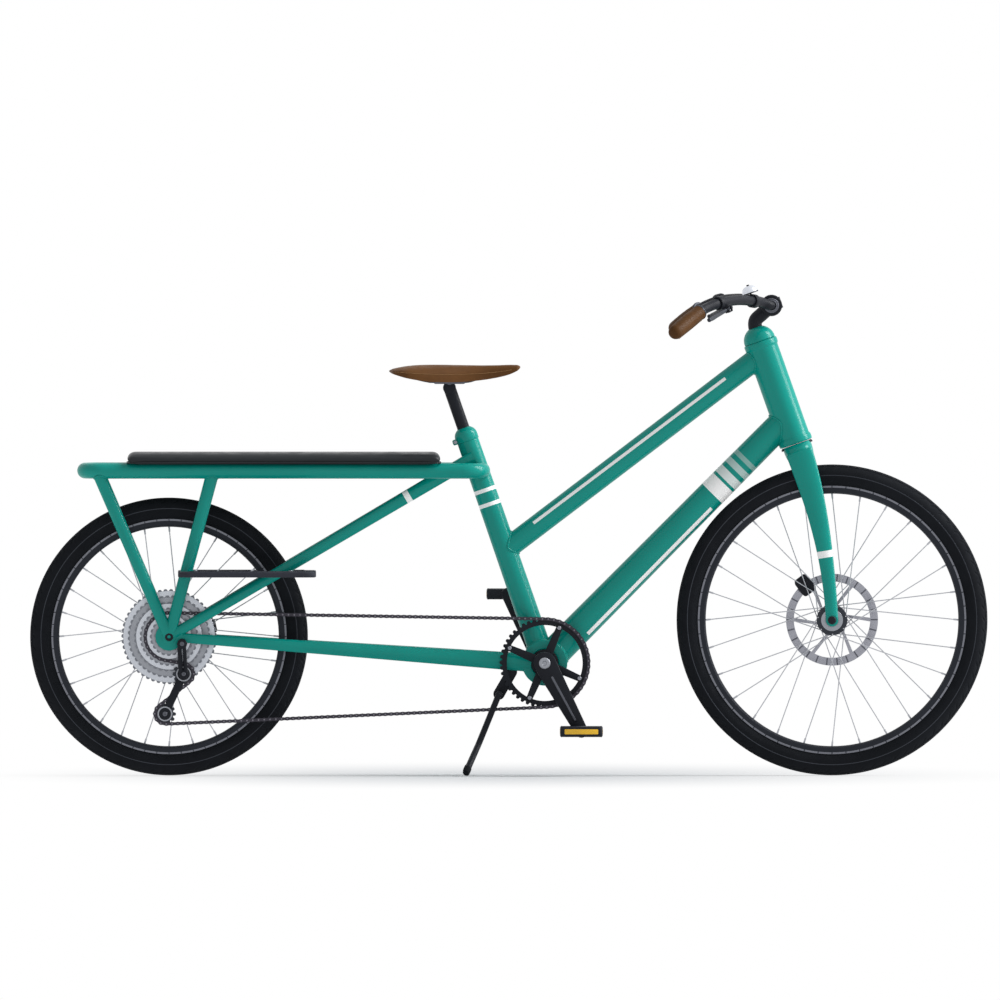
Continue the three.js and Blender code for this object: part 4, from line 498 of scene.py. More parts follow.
class FinishNodes(Nodes):
    """Builds the node tree of a finish."""

    def __init__(self, finish: Finish) -> None:
        """Starts an empty tree for a finish."""
        self.finish = finish
        self.material = bpy.data.materials.new(finish.name)
        super().__init__(self.material)
        self.place = self.node("TexCoord").outputs["Object"]

    def noise(self, scale: float, detail: float = 3.0) -> bpy.types.NodeSocket:
        """Smooth noise from 0 to 1."""
        return self.node("TexNoise", {"Vector": self.place, "Scale": scale, "Detail": detail}).outputs["Fac"]

    def ranged(self, value: bpy.types.NodeSocket, low: float, high: float) -> bpy.types.NodeSocket:
        """The middle of a value's range spread to between low and high."""
        keys = {"Value": value, "From Min": 0.3, "From Max": 0.7, "To Min": low, "To Max": high}
        return self.node("MapRange", keys).outputs[0]

    def mixed(self, share: object, first: object, second: object) -> bpy.types.NodeSocket:
        """Two colours mixed by a share."""
        return self.node("Mix", {0: share, 6: first, 7: second}, data_type="RGBA").outputs[2]

    def relief(self) -> bpy.types.NodeSocket:
        """The height of the grain, from 0 to 1."""
        scale, grain = self.finish.grain_scale, self.finish.grain
        if grain in (Grain.HIDE, Grain.PRISM):
            cells = self.node("TexVoronoi", {"Vector": self.place, "Scale": scale}).outputs["Distance"]
            if grain is Grain.PRISM:
                return cells
            return self.math("ADD", cells, self.math("MULTIPLY", self.noise(scale * 2.6), 0.4))
        if grain is Grain.WEAVE:
            keys = {"Vector": self.place, "Scale": scale, "Distortion": 0.6}
            waves = [self.node("TexWave", keys, bands_direction=way).outputs["Fac"] for way in ("X", "Y")]
            return self.math("MULTIPLY", *waves)
        if grain is Grain.BRUSHED:
            flat = self.vector("MULTIPLY", self.vector("SUBTRACT", self.place, self.finish.axle), (1, 0, 1))
            lines = self.node("CombineXYZ", {"X": self.vector("LENGTH", flat)}).outputs[0]
            return self.node("TexNoise", {"Vector": lines, "Scale": scale, "Detail": 2.0}).outputs["Fac"]
        return self.noise(scale, 4.0 if grain is Grain.RUBBER else 2.0)

    def striped(self, base: bpy.types.NodeSocket) -> bpy.types.NodeSocket:
        """The base colour with each white stripe laid over it."""
        for stripe in self.finish.stripes:
            off = self.math("SUBTRACT", self.vector("DOT_PRODUCT", self.place, stripe.axis), stripe.middle * MM)
            share = self.math("LESS_THAN", self.math("ABSOLUTE", off), stripe.width * MM / 2)
            if stripe.limits:
                run = self.vector("DOT_PRODUCT", self.place, stripe.along)
                for test, limit in zip(("GREATER_THAN", "LESS_THAN"), stripe.limits):
                    share = self.math("MULTIPLY", share, self.math(test, run, limit * MM))
            base = self.mixed(self.math("MULTIPLY", share, stripe.strength), base, (1, 1, 1, 1))
        return base

    def made(self) -> bpy.types.Material:
        """Links colour, roughness and bump, and sets what is the same all over."""
        finish = self.finish
        colour = np.array(linear(*finish.colour))
        cloud = self.ranged(self.noise(finish.mottle_scale), 0.0, 1.0)
        fine = self.ranged(self.noise(finish.grain_scale / 6, 2.0), 0.0, 1.0)
        spread = self.math("ADD", self.math("MULTIPLY", cloud, 0.65), self.math("MULTIPLY", fine, 0.35))
        shades = ((*np.clip(colour * share, 0, 1), 1) for share in (1 - finish.mottle, 1 + finish.mottle))
        swing = min(0.12, finish.roughness * 0.3)
        rough = self.ranged(self.noise(finish.mottle_scale * 4), finish.roughness - swing, finish.roughness + swing)
        bump = self.node("Bump", {"Height": self.relief(), "Distance": finish.grain_depth, "Strength": 1.0})
        self.known("Principled BSDF", {
            "Base Color": self.striped(self.mixed(spread, *shades)), "Roughness": rough, "Normal": bump.outputs[0],
            "Metallic": finish.metallic, "Coat Weight": finish.coat, "Coat Roughness": finish.coat_roughness,
            "Specular IOR Level": finish.specular, "Sheen Weight": finish.sheen})
        self.material.diffuse_color = (*colour, 1)
        return self.material


REAR, FRONT = np.array([[-747.55, 0.0, 305.5], [711.05, 0.0, 342.0]])
BRACKET, HEAD_FOOT = np.array([[78.85, 0.0, 247.7], [632.29, 0.0, 729.76]])
GUIDE, TENSION, HANGER = np.array([[-715.35, 0.0, 223.7], [-756.53, 0.0, 135.88], [-718.95, 0.0, 290.5]])
SEAT_UP, HEAD_UP = np.array([[-0.32722, 0.0, 0.94495], [-0.333807, 0.0, 0.942641]])
STEER_BASIS = np.array([[0.942641, 0.0, 0.333807], ACROSS, HEAD_UP])
DOWN_TUBE_RISE = 60.2
PHOTO_SCALE, PHOTO_MIDDLE, PHOTO_FLOOR = 2.2, 508.8, 775.3


def on_seat(rise: float, y: float = 0.0) -> Array:
    """A point on the seat tube's axis."""
    return BRACKET + rise * SEAT_UP + y * ACROSS


def on_head(rise: float) -> Array:
    """A point on the head tube's axis."""
    return HEAD_FOOT + rise * HEAD_UP


def on_photo(across: float, down: float) -> Array:
    """The place in the bicycle's middle plane behind a pixel of the photograph."""
    return PHOTO_SCALE * np.array([across - PHOTO_MIDDLE, 0.0, PHOTO_FLOOR - down])


class Finishes:
    """All finishes of the bicycle."""

    enamel = Finish("teal_enamel", "frame_paint", (4, 146, 134), 0.44, 0.0, 60.0, 4e-5, 0.05, Grain.PEEL, 5.0,
                    specular=0.05, coat=0.32, coat_roughness=0.15)
    satin = Finish("satin_black", "black_metal", (33, 35, 41), 0.42, 0.0, 1400.0, 2e-5, 0.14, specular=0.1)
    graphite = Finish("graphite_metal", "black_metal", (58, 61, 68), 0.38, 0.4, 1600.0, 2e-5, 0.14)
    cap = Finish("cap_grey", "black_metal", (98, 100, 108), 0.36, 0.5, mottle=0.1)
    board = Finish("board_grip", "board", (54, 56, 64), 0.62, 0.0, 700.0, 2e-4, 0.14, specular=0.1)
    tyre = Finish("tyre_rubber", "tyre", (27, 29, 33), 0.8, 0.0, 420.0, 1.2e-4, 0.2, Grain.RUBBER, specular=0.06)
    rim = Finish("dark_rim", "rim", (40, 43, 50), 0.36, 0.3, 1100.0, mottle=0.12)
    track = Finish("rim_track", "rim", (118, 120, 128), 0.34, 0.7, 1500.0, 2e-5, 0.1)
    alloy = Finish("light_alloy", "hub", (197, 201, 209), 0.28, 0.75, mottle=0.06)
    alloy_dark = Finish("dim_alloy", "hub", (150, 153, 160), 0.32, 0.75)
    # darker metal for the sprocket teeth: painted shade for the gaps between the cassette's rings
    teeth = Finish("teeth_painted_shade", "hub", (124, 127, 135), 0.34, 0.5, mottle=0.12)
    spoke = Finish("spoke_steel", "hub", (182, 184, 190), 0.3, 0.7, 1800.0, mottle=0.05)
    steel = Finish("ground_steel", "steel", (150, 152, 160), 0.3, 0.85)
    rotor = Finish("rotor_steel", "steel", (165, 166, 175), 0.34, 0.6, 1500.0, 3e-5, 0.06, Grain.BRUSHED)
    # darker steel for the rotor's radial marks: painted shade where the slots would open
    slot = Finish("rotor_slots", "steel", (104, 105, 114), 0.4, 0.4)
    chain = Finish("chain_steel", "chain", (62, 60, 68), 0.36, 0.5, 1400.0, 2e-5, 0.2)
    roller = Finish("chain_rollers", "chain", (118, 116, 124), 0.34, 0.7, 1400.0, mottle=0.1)
    hide = Finish("brown_hide", "leather", (94, 62, 33), 0.55, 0.0, 520.0, 1.6e-4, 0.16, Grain.HIDE, 14.0,
                  specular=0.08, coat=0.03)
    grip = replace(hide, name="grip_hide", colour=(80, 52, 25))
    thread = Finish("seam_thread", "leather", (158, 122, 82), 0.75, 0.0, 900.0, 1e-4, 0.12, Grain.WEAVE)
    pad = Finish("pad_cloth", "pad", (27, 31, 35), 0.42, 0.0, 430.0, 6e-5, 0.08, Grain.WEAVE, specular=0.24, sheen=0.04)
    bell = Finish("bright_dome", "bell", (222, 226, 234), 0.2, 0.7, 300.0, mottle=0.03, specular=0.5)
    pedal = Finish("pedal_black", "pedal", (34, 36, 42), 0.5, 0.0, 900.0, 1e-4, 0.15)
    amber = Finish("amber_reflector", "pedal", (248, 194, 46), 0.2, 0.0, 420.0, 3e-4, 0.1, Grain.PRISM, coat=0.5)

    @classmethod
    def by_slot(cls) -> dict[str, Finish]:
        """The first finish of each slot."""
        every = [finish for finish in vars(cls).values() if isinstance(finish, Finish)]
        return {finish.slot: finish for finish in reversed(every)}

    @classmethod
    def painted(cls, name: str, *stripes: Stripe) -> Finish:
        """Enamel with white stripes."""
        return replace(cls.enamel, name=f"enamel_{name}", stripes=stripes)

    @classmethod
    def top_tube(cls) -> Finish:
        """Enamel with a thin line along the tube's upper third."""
        ends = (on_photo(*pixel) for pixel in ((533.4, 523.0), (725.4, 378.1)))
        return cls.painted("top_tube", Stripe.between(*ends, 6.6))

    @classmethod
    def seat_tube(cls) -> Finish:
        """Enamel with two bands round the tube."""
        pixels = ((485.7, 489.9), (490.2, 503.8))
        return cls.painted("seat_tube", *(Stripe.across(on_photo(*pixel), SEAT_UP, 8.4) for pixel in pixels))

    @classmethod
    def seatstay(cls) -> Finish:
        """Enamel with one band round the tube."""
        return cls.painted("seatstay", Stripe.across(on_photo(406, 494), unit([669.95, 0, 393.9]), 13.0))

    @classmethod
    def fork(cls) -> Finish:
        """Enamel with one band round each leg."""
        middle = np.array([-21.2, 0, -250]) @ STEER_BASIS + HEAD_FOOT
        return cls.painted("fork", Stripe.across(middle, unit([0.1745, 0, 0.9847] @ STEER_BASIS), 15.0))

    @classmethod
    def down_tube(cls) -> Finish:
        """Enamel with a line near the lower edge and four bands that fade towards the head tube."""
        along = unit(on_head(DOWN_TUBE_RISE) - BRACKET)
        start, end = (BRACKET + along * rise - square_to(along) * drop for rise, drop in ((112, 22.5), (500, 21.5)))
        bands = (Stripe.across(BRACKET + along * rise, along, width, strength)
                 for rise, width, strength in ((541, 34, 1.0), (575, 20, 0.72), (603, 15, 0.45), (627, 11, 0.25)))
        return cls.painted("down_tube", Stripe.between(start, end, 7.5), *bands)


class Workshop:
    """Makes named pieces of surfaces and keeps count of them."""

    def __init__(self) -> None:
        """Starts with no pieces and no replaced nodes."""
        self.replaced: set[str] = set()
        self.count = 0

    def piece(self, name: str, parts: Shape, finish: Finish, body: str,
              stands_for: Sequence[str], sharp: float) -> bpy.types.Object:
        """Makes one piece.

        Args:
            name: the piece's name.
            parts: the surfaces that it joins.
            finish: its finish.
            body: the body that it rides on.
            stands_for: the nodes that it replaces.
            sharp: the angle in degrees past which an edge is drawn sharp.

        Returns:
            The piece's object, at the origin.
        """
        surface = Surface.joined(parts)
        mesh = bpy.data.meshes.new(name)
        mesh.from_pydata((surface.points * MM).tolist(), [], [row for face in surface.faces for row in face.tolist()])
        work = bmesh.new()
        work.from_mesh(mesh)
        bmesh.ops.remove_doubles(work, verts=work.verts, dist=1e-7)
        bmesh.ops.recalc_face_normals(work, faces=work.faces)
        work.to_mesh(mesh)
        work.free()
        mesh.polygons.foreach_set("use_smooth", np.ones(len(mesh.polygons), bool))
        mesh.set_sharp_from_angle(angle=math.radians(sharp))
        mesh.materials.append(finish.material())
        made = in_scene(name, mesh)
        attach(made, body)
        if stands_for:
            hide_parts(*stands_for)
            self.replaced.update(stands_for)
        self.count += 1
        log.info("%s: %d faces on %s", name, len(mesh.polygons), body)
        return made

    def dress_rest(self, by_slot: dict[str, Finish]) -> None:
        """Gives every node that still shows the finish of its slot."""
        for row in frame["record"]["subparts"]:
            if row["node"] in self.replaced:
                continue
            materials = frame["nodes"][row["node"]].data.materials
            materials.clear()
            materials.append(by_slot[row["material_slot"]].material())
            log.info("%s keeps its solid", row["node"])


@dataclass
class Assembly:
    """A sub-assembly, which makes its pieces in the workshop."""

    shop: Workshop
    body: ClassVar[str] = "frame"

    def put(self, name: str, parts: Shape, finish: Finish, *stands_for: str,
            body: str | None = None, sharp: float = SHARP) -> bpy.types.Object:
        """Makes a piece as Workshop.piece does, on the assembly's body unless another is named."""
        return self.shop.piece(name, parts, finish, body or self.body, stands_for, sharp)


def weld(start: Array, along: Array, radius: float, onto: Array, axis: Array, thick: float,
         bead: float = 2.4) -> Surface:
    """A weld bead where a round tube meets another: each point of the first tube's ring runs on along the tube to
    the second one's surface, by the quadratic for a line and a cylinder, and a thin rippled tube follows them.

    Args:
        start: a point on the first tube's axis, outside the second tube.
        along: the first tube's direction towards the second.
        radius: the first tube's radius there.
        onto: a point on the second tube's axis.
        axis: the second tube's direction.
        thick: the second tube's radius.
        bead: the bead's radius.

    Returns:
        The bead.
    """
    along, axis = unit(along), unit(axis)
    angle = lap(96)
    ring = start + radius * toward(angle) @ axes_for(along)[:2]
    gap = ring - onto
    flat_gap = gap - np.outer(gap @ axis, axis)
    flat_way = along - axis * np.dot(along, axis)
    a, b = flat_way @ flat_way, 2 * flat_gap @ flat_way
    c = np.sum(flat_gap**2, axis=1) - thick**2
    run = (-b - np.sqrt(np.maximum(b**2 - 4 * a * c, 0))) / (2 * a)
    ripple = bead * (1 + 0.12 * np.cos(angle * 32))
    return sweep(ring + run[:, None] * along, ripple, hint=along, count=10, closed=True)


def dome(radius: float, rise: float, foot: float, bore: float, count: int) -> Array:
    """A dome's profile up to its bore: the radius falls with the cosine of an angle, its sine carries it up."""
    return (0, foot) + toward(np.linspace(0, math.acos(bore / radius), count)) * (radius, rise)


@dataclass
class MainFrame(Assembly):
    """The welded frame: tubes, stays, struts and the rack's rails."""

    seat_radii: Pair = (26.0, 24.0)
    top_radius: float = 24.0
    top_rises: Pair = (263.0, 211.5)
    down_radii: Pair = (34.0, 30.0)
    head_radius: float = 35.0
    head_end: float = 37.5
    head_length: float = 238.9
    shell_radius: float = 50.0
    shell_width: float = 73.0
    seat_end: float = 516.0
    clamp_rise: float = 522.5
    dropout_y: float = 75.8
    rail_height: float = 670.5
    rail_radius: float = 17.0
    rail_spread: float = 70.0
    rail_bend: float = 42.0
    rail_ends: Pair = (-932.55, -57.96)
    crossings: Triple = (-795.0, -500.0, -205.0)

    def build(self) -> None:
        """Builds every tube and plate of the frame."""
        for make in (self.bottom_shell, self.main_tubes, self.head, self.seat_collar):
            make()
        for name, side in SIDES.items():
            self.stays(name, side)
            self.dropout(name, side)
        self.rails()

    def bottom_shell(self) -> None:
        """The bottom bracket shell with a bearing cup in each end: turned profiles about the crank's axis."""
        half, outer = self.shell_width / 2, self.shell_radius
        shell = softened([(30, -half), (outer, -half), (outer, half), (30, half), (30, half - 6), (22, half - 7),
                          (22, 7 - half), (30, 6 - half)], 2.2, closed=True)
        self.put("bottom_bracket", lathe(shell, BRACKET, ring=True, count=96), Finishes.enamel, "bottom_bracket_shell")
        cup = softened([(13, half - 5), (29.6, half - 5), (29.6, half + 1.4), (27, half + 2.4), (15, half + 2.4),
                        (13, half + 1.4)], 0.8, closed=True)
        self.put("bearing_cups", [lathe(cup * [1, way], BRACKET, ring=True) for way in (1, -1)], Finishes.satin)

    def main_tubes(self) -> None:
        """Seat, top and down tube: rings of a tapering radius along straight lines, with their weld beads."""
        top = np.array([on_seat(self.top_rises[0]), on_head(self.top_rises[1])])
        down = np.array([BRACKET, on_head(DOWN_TUBE_RISE)])
        for name, line, radii, count, finish in (
                ("seat_tube", (BRACKET, on_seat(self.seat_end)), self.seat_radii, 24, Finishes.seat_tube()),
                ("top_tube", top, (self.top_radius,) * 2, 12, Finishes.top_tube()),
                ("down_tube", down, self.down_radii, 12, Finishes.down_tube())):
            tube = sweep(np.linspace(*line, count), np.linspace(*radii, count), count=64)
            self.put(f"{name}_painted", tube, finish, name)
        top_way, down_way = unit(top[1] - top[0]), unit(down[1] - down[0])
        head, shell = (HEAD_FOOT, HEAD_UP, self.head_radius), (BRACKET, ACROSS, self.shell_radius)
        beads = [weld(top[0] + top_way * 120, -top_way, self.top_radius, BRACKET, SEAT_UP, 25.0),
                 weld(top[1] - top_way * 120, top_way, self.top_radius, *head),
                 weld(down[1] - down_way * 160, down_way, 30.6, *head),
                 weld(BRACKET + down_way * 120, -down_way, 33.4, *shell),
                 weld(BRACKET + SEAT_UP * 120, -SEAT_UP, 25.7, *shell)]
        self.put("frame_welds", beads, Finishes.enamel)

    def head(self) -> None:
        """The head tube and the upper bearing's dome, turned about the steering axis."""
        r, end, length = self.head_radius, self.head_end, self.head_length
        tube = softened([(20.5, 0), (end - 2, 0), (end, 2), (end, 12.5), (r, 16), (r, length - 16),
                         (end, length - 12.5), (end, length - 2), (end - 2, length), (20.5, length)], 2.0)
        self.put("head_tube_painted", lathe(tube, HEAD_FOOT, HEAD_UP, 96, ring=True), Finishes.enamel, "head_tube")
        bearing = [(15.4, length + 0.3), (34, length + 0.3), (35, length + 1), *dome(35, 33, length + 2.2, 15.4, 16)]
        self.put("headset_dome", lathe(bearing, HEAD_FOOT, HEAD_UP, 72, ring=True), Finishes.enamel, "headset_upper")

    def seat_collar(self) -> None:
        """The clamp at the top of the seat tube: a turned collar with a round shoulder, a split lug and its bolt."""
        profile = [(13.8, 516.3), (25.0, 516.3), (25.5, 517), *dome(25.5, 22, 528, 13.8, 12)]
        back = unit(np.cross(SEAT_UP, ACROSS))
        clamp, lug = on_seat(self.clamp_rise), rounded_box((12, -6), (33, 6), 4)
        ears = [plate([lug], low, high, 1.0, clamp, np.array([back, SEAT_UP, ACROSS]))
                for low, high in ((-13, -1.8), (1.8, 13))]
        parts = [lathe(profile, BRACKET, SEAT_UP, ring=True), *ears]
        self.put("seat_clamp_collar", parts, Finishes.enamel, "seat_clamp")
        place = clamp + back * 27
        near, far = place - ACROSS * 13, place + ACROSS * 13
        nut = lathe([(0, 0), (4.4, 0), (4.4, 3.4), (0, 3.4)], far, count=6)
        screw = [bolts([near], 4.2, 4, -ACROSS), rods([near], [far + ACROSS * 0.5], 2.6, 16), nut]
        self.put("seat_clamp_bolt", screw, Finishes.steel)

    def stays(self, name: str, side: float) -> None:
        """A side's chainstay, seatstay and two struts: tapering oval rings along straight lines.

        Args:
            name: the side's name.
            side: -1 for the right and 1 for the left.
        """
        foot = REAR + ACROSS * side * self.dropout_y

        def stay(head: Array, thin: float, thick: float, flat: float) -> tuple[Surface, Array]:
            """A stay to its head, and the way it runs."""
            depth = np.linspace(thin, thick, 24)
            return sweep(np.linspace(foot, head, 24), depth, depth * flat, count=40, nose=(6, 0)), unit(head - foot)

        head = BRACKET + [-30, side * 28, 0]
        tube, way = stay(head, 10, 20, 0.55)
        bead = weld(head - way * 60, way, 18.0, BRACKET, ACROSS, self.shell_radius, 2.0)
        near = np.abs(bead.points[:, 1] - side * 25) < 60
        bead.points[:, 1] = side * 26 + (np.where(near, bead.points[:, 1], side * 28) - side * 26) * 0.6
        self.put(f"chainstay_{name}_tube", [tube, bead], Finishes.enamel, f"chainstay_{name}")
        tube, _ = stay(on_seat(478, side * 20), 11.3, 14.5, 0.8)
        self.put(f"seatstay_{name}_tube", tube, Finishes.seatstay(), f"seatstay_{name}")
        for label, reach in (("front", 97.6), ("rear", -157.4)):
            head = np.array([REAR[0] + reach, side * self.rail_spread, self.rail_height])
            tube, way = stay(head, 12.6, 14.0, 0.8)
            bead = weld(head - way * 80, way, 13.2, head, AHEAD, self.rail_radius, 1.9)
            self.put(f"{label}_strut_{name}_tube", [tube, bead], Finishes.enamel, f"{label}_strut_{name}")

    def dropout(self, name: str, side: float) -> None:
        """A side's dropout: a bevelled round plate with a boss, and on the right the derailleur's hanger."""
        axle = REAR[[0, 2]]
        boss = softened([(6.6, 79), (15, 79), (15, 81.6), (13, 82.4), (6.6, 82.4)], 0.6, closed=True) * [1, side]
        disc = plate([circle(30, 56, axle), circle(6.4, 24, axle)], side * 71.5, side * 80.1, 1.6)
        parts = [disc, lathe(boss, REAR, ring=True)]
        if side < 0:
            parts.append(plate([capsule(axle, HANGER[[0, 2]], 15, 11)], side * 72.1, side * 79.5, 1.2))
        self.put(f"dropout_{name}", parts, Finishes.enamel)

    def rails(self) -> None:
        """The rack's loop: one round tube along a rectangle with round ends, and three cross tubes under the deck."""
        bend, spread = self.rail_bend, self.rail_spread
        back, front = self.rail_ends[0] + bend, self.rail_ends[1] - bend
        quarter = np.linspace(0, math.pi / 2, 14)
        loop = np.vstack([(x, y * (spread - bend)) + bend * toward(way * math.pi / 2 + quarter)
                          for x, way, y in ((front, 0, 1), (back, 1, 1), (back, 2, -1), (front, 3, -1))])
        path = np.insert(through_straights(loop, 60.0), 2, self.rail_height, axis=1)
        starts = np.array([(x, -spread, self.rail_height) for x in self.crossings])
        parts = [sweep(path, self.rail_radius, hint=UP, count=40, closed=True),
                 rods(starts, starts * [1, -1, 1], 9.0, 32)]
        self.put("rack_loop", parts, Finishes.enamel, "rack_rail_right", "rack_rail_left")


def through_straights(loop: Array, longest: float) -> Array:
    """A closed line of points with more points put on each stretch that is longer than a limit."""
    pieces = []
    for here, there in zip(loop, np.roll(loop, -1, axis=0)):
        steps = max(1, int(np.linalg.norm(there - here) // longest))
        pieces.append(here + np.linspace(0, 1, steps, endpoint=False)[:, None] * (there - here))
    return np.vstack(pieces)


def even(path: Array) -> Array:
    """A closed path's points spread evenly along its length."""
    ring = np.vstack([path, path[:1]])
    run = np.concatenate([[0], np.cumsum(np.linalg.norm(np.diff(ring, axis=0), axis=1))])
    target = np.linspace(0, run[-1], len(path) + 1)[:-1]
    return np.column_stack([np.interp(target, run, ring[:, i]) for i in range(3)])


@dataclass
class CargoDeck(Assembly):
    """The rack's board and cushion, and the foot boards."""

    rear: float = -841.95
    front: float = -147.95
    half_width: float = 100.0
    top: float = 709.5
    bottom: float = 676.5
    deck_top: float = 692.3
    deck_half: float = 83.0
    seam_rise: float = 12.0
    waist: float = 2.5
    swelling: float = 2.6

    def build(self) -> None:
        """Builds the deck, the cushion and both foot boards."""
        outline = rounded_box((self.rear + 12, -82), (self.front - 12, 82), 12)
        slots = [capsule((x, -52), (x, 52), 9, count=8) for x in np.linspace(-780, -210, 8)]
        self.put("deck_board", plate([outline, *slots], 687.9, 691.7, 1.0, basis=FLAT), Finishes.board, "rack_deck")
        self.cushion()
        for name, side in SIDES.items():
            self.foot_board(name, side)

    def drawn_in(self, place: Array) -> Array:
        """How far the cushion's sides are drawn in at places from its rear end: half a wave of a sine."""
        return self.waist * np.sin(math.pi * place / (self.front - self.rear))

    def section(self, place: Array, angle: Array) -> Array:
        """The cushion's skin: at each place along it a squared ring, drawn in at the middle and towards the ends,
        whose top is crowned and whose underside lies flat on the deck between two skirts.

        Args:
            place: distance from the rear end, in millimetres.
            angle: the ring's angle.

        Returns:
            An array (places, angles, 3).
        """
        middle, half = (self.top + self.bottom) / 2, (self.top - self.bottom) / 2
        closeness = np.clip(1 - np.minimum(place, self.front - self.rear - place) / half, 0, 1)
        shrink = np.sqrt(np.maximum(1 - closeness**2, 0.0025))[:, None]
        c, s = squared(angle, 0.32, 0.8)
        width = (self.half_width - 2 - self.drawn_in(place)[:, None] - (1 - shrink) * half * 0.8) * c
        height = middle + (half - 3.5) * shrink * s + 3.0 * np.sin(angle) ** 2 * (s > 0) * shrink
        under = (s < 0) & (np.abs(width) < self.deck_half + 3)
        height = np.where(under, np.maximum(height, self.deck_top + 0.4), height)
        return np.stack([np.broadcast_to(self.rear + place[:, None], width.shape), width, height], axis=-1)

    def cushion(self) -> None:
        """The padded cushion, swelled by a cloth simulation, with piping round its edge."""
        length = self.front - self.rear
        end = np.linspace(0.6, 16, 9)
        place = np.concatenate([end, np.linspace(24, length - 24, 60), length - end[::-1]])
        skin = Surface.sheet(self.section(place, lap(96)))
        pad = self.put("deck_cushion", skin, Finishes.pad, "deck_pad", sharp=80.0)
        swell(pad, self.swelling)
        c, s = squared(lap(240), 0.12)
        x = (self.rear + self.front) / 2 + (length / 2 - 2.4) * c
        y = (self.half_width - 3.2) * s
        y = y - np.sign(y) * self.drawn_in(x - self.rear)
        cord = even(np.column_stack([x, y, np.full(len(x), self.bottom + self.seam_rise)]))
        self.put("cushion_piping", sweep(cord, 1.7, hint=UP, count=10, closed=True), Finishes.pad)

    def foot_board(self, name: str, side: float) -> None:
        """A foot board: a bevelled board with raised grip bars, and two bolts.

        Args:
            name: the side's name.
            side: -1 for the right and 1 for the left.
        """
        basis = np.array([AHEAD, ACROSS * side, UP])
        parts = [plate([rounded_box((-727.9, 62.3), (-424.0, 165.9), 26)], 437.3, 449.4, 2.6, basis=basis)]
        parts += [plate([capsule((-700, y), (-452, y), 2.4, count=6)], 448.6, 450.4, 0.6, basis=basis)
                  for y in np.linspace(84, 150, 8)]
        self.put(f"foot_board_{name}_grip", parts, Finishes.board, f"footboard_{name}")
        heads = bolts([(x, side * 74, 449.2) for x in (-690, -480)], 5.2, 2.6, UP)
        self.put(f"foot_board_{name}_bolts", heads, Finishes.steel)


def swell(pad: bpy.types.Object, cap: float) -> None:
    """Swells a padded piece with a short cloth simulation and applies the result.

    Args:
        pad: the piece, whose mesh is replaced by the swelled one.
        cap: the furthest that a point may move, in millimetres.
    """
    def applied() -> bpy.types.Mesh:
        """The working copy's mesh with its modifiers applied."""
        return bpy.data.meshes.new_from_object(work.evaluated_get(bpy.context.evaluated_depsgraph_get()))

    work = in_scene("swelling", pad.data.copy())
    remesh = work.modifiers.new("voxels", "REMESH")
    remesh.mode, remesh.voxel_size, remesh.use_smooth_shade = "VOXEL", 0.005, True
    baked = applied()
    work.modifiers.clear()
    work.data = baked
    start = coordinates(baked)
    cloth = work.modifiers.new("cloth", "CLOTH")
    cloth.settings.use_pressure = True
    cloth.settings.uniform_pressure_force = 4.0
    cloth.settings.effector_weights.gravity = 0.0
    cloth.settings.quality = 4
    cloth.point_cache.frame_start, cloth.point_cache.frame_end = 1, 20
    for number in range(1, 21):
        bpy.context.scene.frame_set(number)
    swelled = applied()
    move = coordinates(swelled) - start
    far = np.linalg.norm(move, axis=1, keepdims=True)
    final = start + move * np.minimum(1, cap * MM / np.maximum(far, 1e-9))
    baked.vertices.foreach_set("co", final.astype(np.float32).ravel())
    bpy.data.objects.remove(work)
    bpy.data.meshes.remove(swelled)
    bpy.context.scene.frame_set(1)
    baked.materials.clear()
    baked.materials.append(pad.data.materials[0])
    baked.polygons.foreach_set("use_smooth", np.ones(len(baked.polygons), bool))
    pad.data = baked
    finer = pad.modifiers.new("finer", "SUBSURF")
    finer.levels = finer.render_levels = 1


